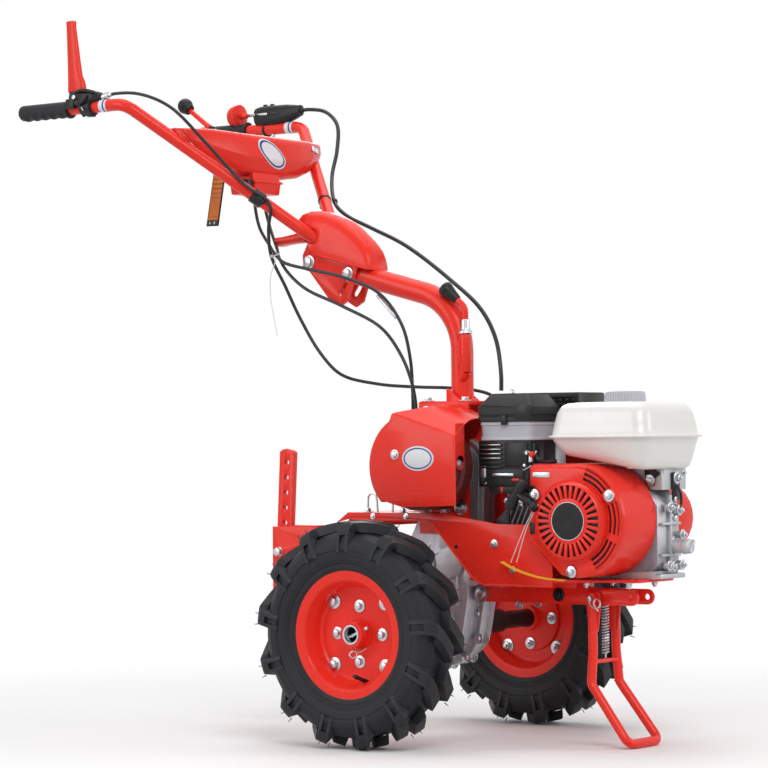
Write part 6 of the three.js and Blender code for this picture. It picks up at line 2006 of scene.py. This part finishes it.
def hanging_strip():
    """Narrow ribbed amber strip that leans back, in dark edges, with a black end that has two pale holes."""
    low, high = corners("hanging_strip")
    x = (low.x + high.x) / 2

    def leaning(piece):
        for vertex in piece.data.vertices:
            rise = (vertex.co.z / MM - at(0, 0, low.z).z / MM) / (high.z - low.z)
            vertex.co.y = at(0, 486 - 21 * rise, 0).y + (vertex.co.y - at(0, 485, 0).y) * 0.62
        return piece

    y0, y1 = 462, 508
    panel = block("panel", x - 1.2, x + 1.2, y0 + 2, y1 - 2, low.z + 11, high.z, 0.3)
    ribs = [rod(
        "rib", (x - 1.1, y0 + 3, low.z + 15 + 4.3 * i), (x - 1.1, y1 - 3, low.z + 15 + 4.3 * i), 1.15,
        vertices=10) for i in range(22)]
    install(
        leaning(joined("hanging_strip_skin", panel, *ribs)), "handlebar", "amber_plastic", "hanging_strip")
    dark = [block("edge", x - 1.8, x + 1.8, y, y + 2.6, low.z + 3, high.z, 0.5) for y in (y0, y1 - 2.6)]
    dark.append(block("end", x - 2.2, x + 2.2, y0, y1, low.z, low.z + 12, 1.0))
    dark += [
        block("bar", x - 1.9, x + 1.9, y0 + 2, y1 - 2, low.z + z, low.z + z + 1.0, 0.3)
        for z in range(18, 108, 9)]
    install(leaning(joined("hanging_strip_frame", *dark)), "handlebar", "black_plastic")
    dots = [
        rod("dot", (x - 2.1, y, low.z + 6), (x - 2.7, y, low.z + 6), 2.6, vertices=20)
        for y in (y0 + 14, y1 - 14)]
    install(leaning(joined("hanging_strip_dots", *dots)), "handlebar", "cap_grey")


for side_name in SIDES:
    handle_tube(side_name)
    grip(side_name)
helmet()
clamp_rod()
clutch_perch()
clutch_lever()
throttle()
console()
gear_lever()
hanging_strip()


# ---------------------------------------------------------------- cables, clips and the tag
CABLES = {"clutch_cable": (3.2, [
    (-278, 611, 1012), (-277, 590, 1016), (-268, 528, 1013), (-248, 466, 985), (-200, 424, 922),
    (-156, 396, 868), (-138, 373, 838), (-106, 340, 802), (-94, 352, 752), (-76, 360, 704), (-58, 340, 645),
    (-42, 318, 585), (-26, 280, 515), (-14, 240, 474), (8, 170, 455), (26, 90, 448), (38, 20, 445),
    (52, -26, 440), (68, -52, 430), (82, -64, 410), (95, -66, 381), (111.6, -66, 380)]),
    "shift_cable_upper": (3.2, [(-10, 452, 830.6), (-10, 452, 812), (-24, 430, 766), (-50, 384, 726),
        (-66, 360, 710), (-68, 338, 692), (-64, 280, 676), (-60, 200, 658), (-52, 120, 624), (-42, 76, 565),
        (-40, 58, 500), (-39, 54, 440), (-38, 54, 370), (-38, 54, 300), (-33, 46, 252), (-31, 21.8, 236)]),
    "shift_cable_lower": (3.2, [(16, 448, 830.6), (16, 448, 812), (2, 424, 766), (-32, 380, 720),
        (-58, 354, 700), (-60, 336, 676), (-62, 290, 640), (-60, 200, 602), (-59, 110, 558), (-57, 66, 505),
        (-54, 45, 455), (-50, 39, 415), (-46, 38, 340), (-30, 40, 272), (-18, 34, 246), (-14, 18, 240)]),
    "throttle_cable": (4.0, [(278, 555.5, 1029), (278, 535, 1029), (276, 494, 1021), (260, 452, 990),
        (230, 430, 935), (190, 413, 878), (128, 358, 816), (112, 318, 790), (100, 250, 762), (76, 150, 722),
        (50, 30, 652), (28, -58, 590), (8, -104, 532), (-6, -124, 470), (-7, -125, 437)]),}


def cable(name):
    """Sheathed cable that bends between the machine and the handlebar."""
    radius, points = CABLES[name]
    piece = pipe(f"{name}_skin", flowing(points, 8), radius, 20)
    finished(piece, "cable_black")
    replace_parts(piece, name)
    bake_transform(piece)


def clips():
    """Moulded clamp on the right tube and a tie on the left one, each holding its cable."""
    way = Vector((226, 250.5, 241)).normalized()
    right = Vector((-way.x, way.y, way.z))
    centre = Vector((-108, 367, 814))
    sleeve = skin_through("sleeve", [elliptic(
        centre + right * s, right.cross(Z_AXIS).normalized(),
        right.cross(Z_AXIS).cross(right).normalized(), r, r, 0.8, 32)
        for s, r in ((-13, 13), (-12, 14.6), (12, 14.6), (13, 13))])
    saddle = rod(
        "saddle", tuple(centre + right * -10 + Vector((-6, -13, -4))),
        tuple(centre + right * 10 + Vector((-6, -13, -4))), 5.6, 5.6, 24, 1.2)
    install(joined("tube_clip_right", sleeve, saddle), "handlebar", "black_plastic")
    across, lift = way.cross(Z_AXIS).normalized(), way.cross(Z_AXIS).cross(way).normalized()
    loops = [skin_through("loop", [
        elliptic(spot + way * s, across, lift, r + g, r + g, 1, 36)
        for s, g in ((-3, -0.8), (-2.4, 0), (2.4, 0), (3, -0.8))])
        for spot, r in ((Vector((116.3, 375.8, 822.6)), 13.4), (Vector((134, 364, 822)), 5.6))]
    head = block("head", 104, 111, 372, 380, 806, 814, 1.4)
    install(joined("tube_clip_left", *loops, head), "handlebar", "black_plastic")


def loose(piece, slot):
    """Gives a piece that hangs on the cables the same handling: its finish and its place baked in, on no
    body.
    """
    finished(piece, slot)
    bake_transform(piece)


def cable_tie():
    tie = pipe("cable_tie", [
        (-69 + 10.5 * math.cos(a), 358 + 7 * math.sin(a), 706 + 3 * math.cos(a))
        for a in (math.tau * i / 40 for i in range(41))], 1.9, 12)
    knot = ball("knot", (-79, 356, 703), 3.4)
    loose(joined("cable_tie", tie, knot), "cap_grey")
    tail = pipe("cable_tie_tail", flowing(
        [(-75, 352, 704), (-74, 352, 692), (-70, 366, 668), (-68, 369, 628), (-66, 362, 584),
            (-66, 355, 550)], 10), 0.9, 10)
    loose(tail, "tank_white")


def yellow_tag():
    """Blank card on two strings from the starter grip, resting against the side plate."""
    spine = [(-121, -196, 126), (-127, -222, 116), (-133, -262, 105), (-139, -300, 99), (-142.5, -345, 96.4)]
    path = flowing(spine, 8)
    rows = [((p.x - 0.2, p.y, p.z), (p.x + 11, p.y + 1, p.z + 1.2)) for p in path]
    card = from_faces("tag_card", [at(*p) for row in rows for p in row], strips(rows, 1))
    modified(card, "SOLIDIFY", thickness=0.9 * MM, offset=0)
    smooth(card, 40)
    refinished(install(card, "machine", "amber_plastic"), TAG_YELLOW)
    strings = [pipe(
        "string", flowing([(-149, -292 + shift, 231), (-140, -262 + shift, 190),
            (-126, -222 + shift * 2.5, 126)], 8), 0.8, 8) for shift in (0, -5)]
    install(joined("tag_strings", *strings), "machine", "tank_white")


for cable_name in CABLES:
    cable(cable_name)
clips()
cable_tie()
yellow_tag()


# ---------------------------------------------------------------- what the pieces above don't replace
REPLACED = {node for piece in bpy.data.objects for node in piece.get("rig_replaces", [])}
SLOT_OF = {part["node"]: part["material_slot"] for part in frame["record"]["subparts"]}
for node_name, node in frame["nodes"].items():
    if node_name not in REPLACED:
        body = next(b for b, nodes in frame["record"]["behaviour"]["bodies"].items() if node_name in nodes)
        skin = dressed(node_name, 0.8)
        install(skin, body, SLOT_OF[node_name], node_name)


# ---------------------------------------------------------------- floor, light and camera
def light_panel(name, place, target, size, power):
    data = bpy.data.lights.new(name, "AREA")
    data.shape, data.size, data.size_y, data.energy = "RECTANGLE", *size, power
    lamp = bpy.data.objects.new(name, data)
    bpy.context.collection.objects.link(lamp)
    lamp.location = place
    lamp.rotation_euler = (Vector(target) - Vector(place)).to_track_quat("-Z", "Y").to_euler()


def stage_floor():
    deselect()
    bpy.ops.mesh.primitive_plane_add(size=30, location=(0, 0, -0.0005))
    floor = bpy.context.object
    floor.name = "floor"
    shader = Shader("pale_floor")
    away = shader.node("ShaderNodeVectorMath", {"operation": "LENGTH"}, shader.place, output=1)
    near = 1 - shader.node("ShaderNodeMapRange", {"interpolation_type": "SMOOTHSTEP"}, away, 0.75, 1.9)
    floor.data.materials.append(
        shader.done(Base_Color=(0.9, 0.9, 0.905), Roughness=0.8, Specular_IOR_Level=0.1, Alpha=near))


def soft_world():
    world = bpy.data.worlds.new("studio")
    bpy.context.scene.world = world
    world.use_nodes = True
    nodes, links = world.node_tree.nodes, world.node_tree.links
    backdrop, fill = nodes["Background"], nodes.new("ShaderNodeBackground")
    backdrop.inputs["Color"].default_value = (1, 1, 1, 1)
    backdrop.inputs["Strength"].default_value = 1.0
    fill.inputs["Color"].default_value = (1, 1, 1, 1)
    fill.inputs["Strength"].default_value = 0.36
    path, mix = nodes.new("ShaderNodeLightPath"), nodes.new("ShaderNodeMixShader")
    seen = path.outputs["Is Camera Ray"]
    for kind in ("Is Glossy Ray", "Is Transmission Ray"):
        either = nodes.new("ShaderNodeMath")
        either.operation = "MAXIMUM"
        links.new(seen, either.inputs[0])
        links.new(path.outputs[kind], either.inputs[1])
        seen = either.outputs[0]
    links.new(seen, mix.inputs[0])
    links.new(fill.outputs[0], mix.inputs[1])
    links.new(backdrop.outputs[0], mix.inputs[2])
    links.new(mix.outputs[0], nodes["World Output"].inputs["Surface"])


def camera():
    data = bpy.data.cameras.new("camera")
    data.sensor_width, data.lens = 36, 140.625
    yaw, pitch, roll = 0.632, 0.018, -0.0085
    forward = Vector((math.cos(yaw) * math.cos(pitch), math.sin(yaw) * math.cos(pitch), math.sin(pitch)))
    right = Vector((math.sin(yaw), -math.cos(yaw), 0))
    up = right.cross(forward)
    across = right * math.cos(roll) + up * math.sin(roll)
    upward = up * math.cos(roll) - right * math.sin(roll)
    view = bpy.data.objects.new("camera", data)
    view.matrix_world = Matrix.Translation(
        (-4.6094, -3.38325, 0.5565)) @ Matrix((across, upward, -forward)).transposed().to_4x4()
    bpy.context.collection.objects.link(view)
    bpy.context.scene.camera = view


stage_floor()
soft_world()
light_panel("key", (-2.2, -2.6, 3.0), (0, -0.1, 0.6), (2.2, 1.6), 66)
light_panel("side", (-3.0, 1.6, 1.8), (0, 0, 0.6), (1.6, 2.2), 34)
light_panel("front", (1.6, -3.4, 1.6), (0, -0.3, 0.5), (1.6, 1.6), 30)
light_panel("top", (0.3, 0.4, 3.4), (0, 0, 0.5), (2.6, 2.6), 42)
light_panel("back", (2.8, 2.4, 2.2), (0, 0, 0.8), (1.6, 1.6), 22)
camera()
bpy.context.scene.view_settings.view_transform = "Standard"
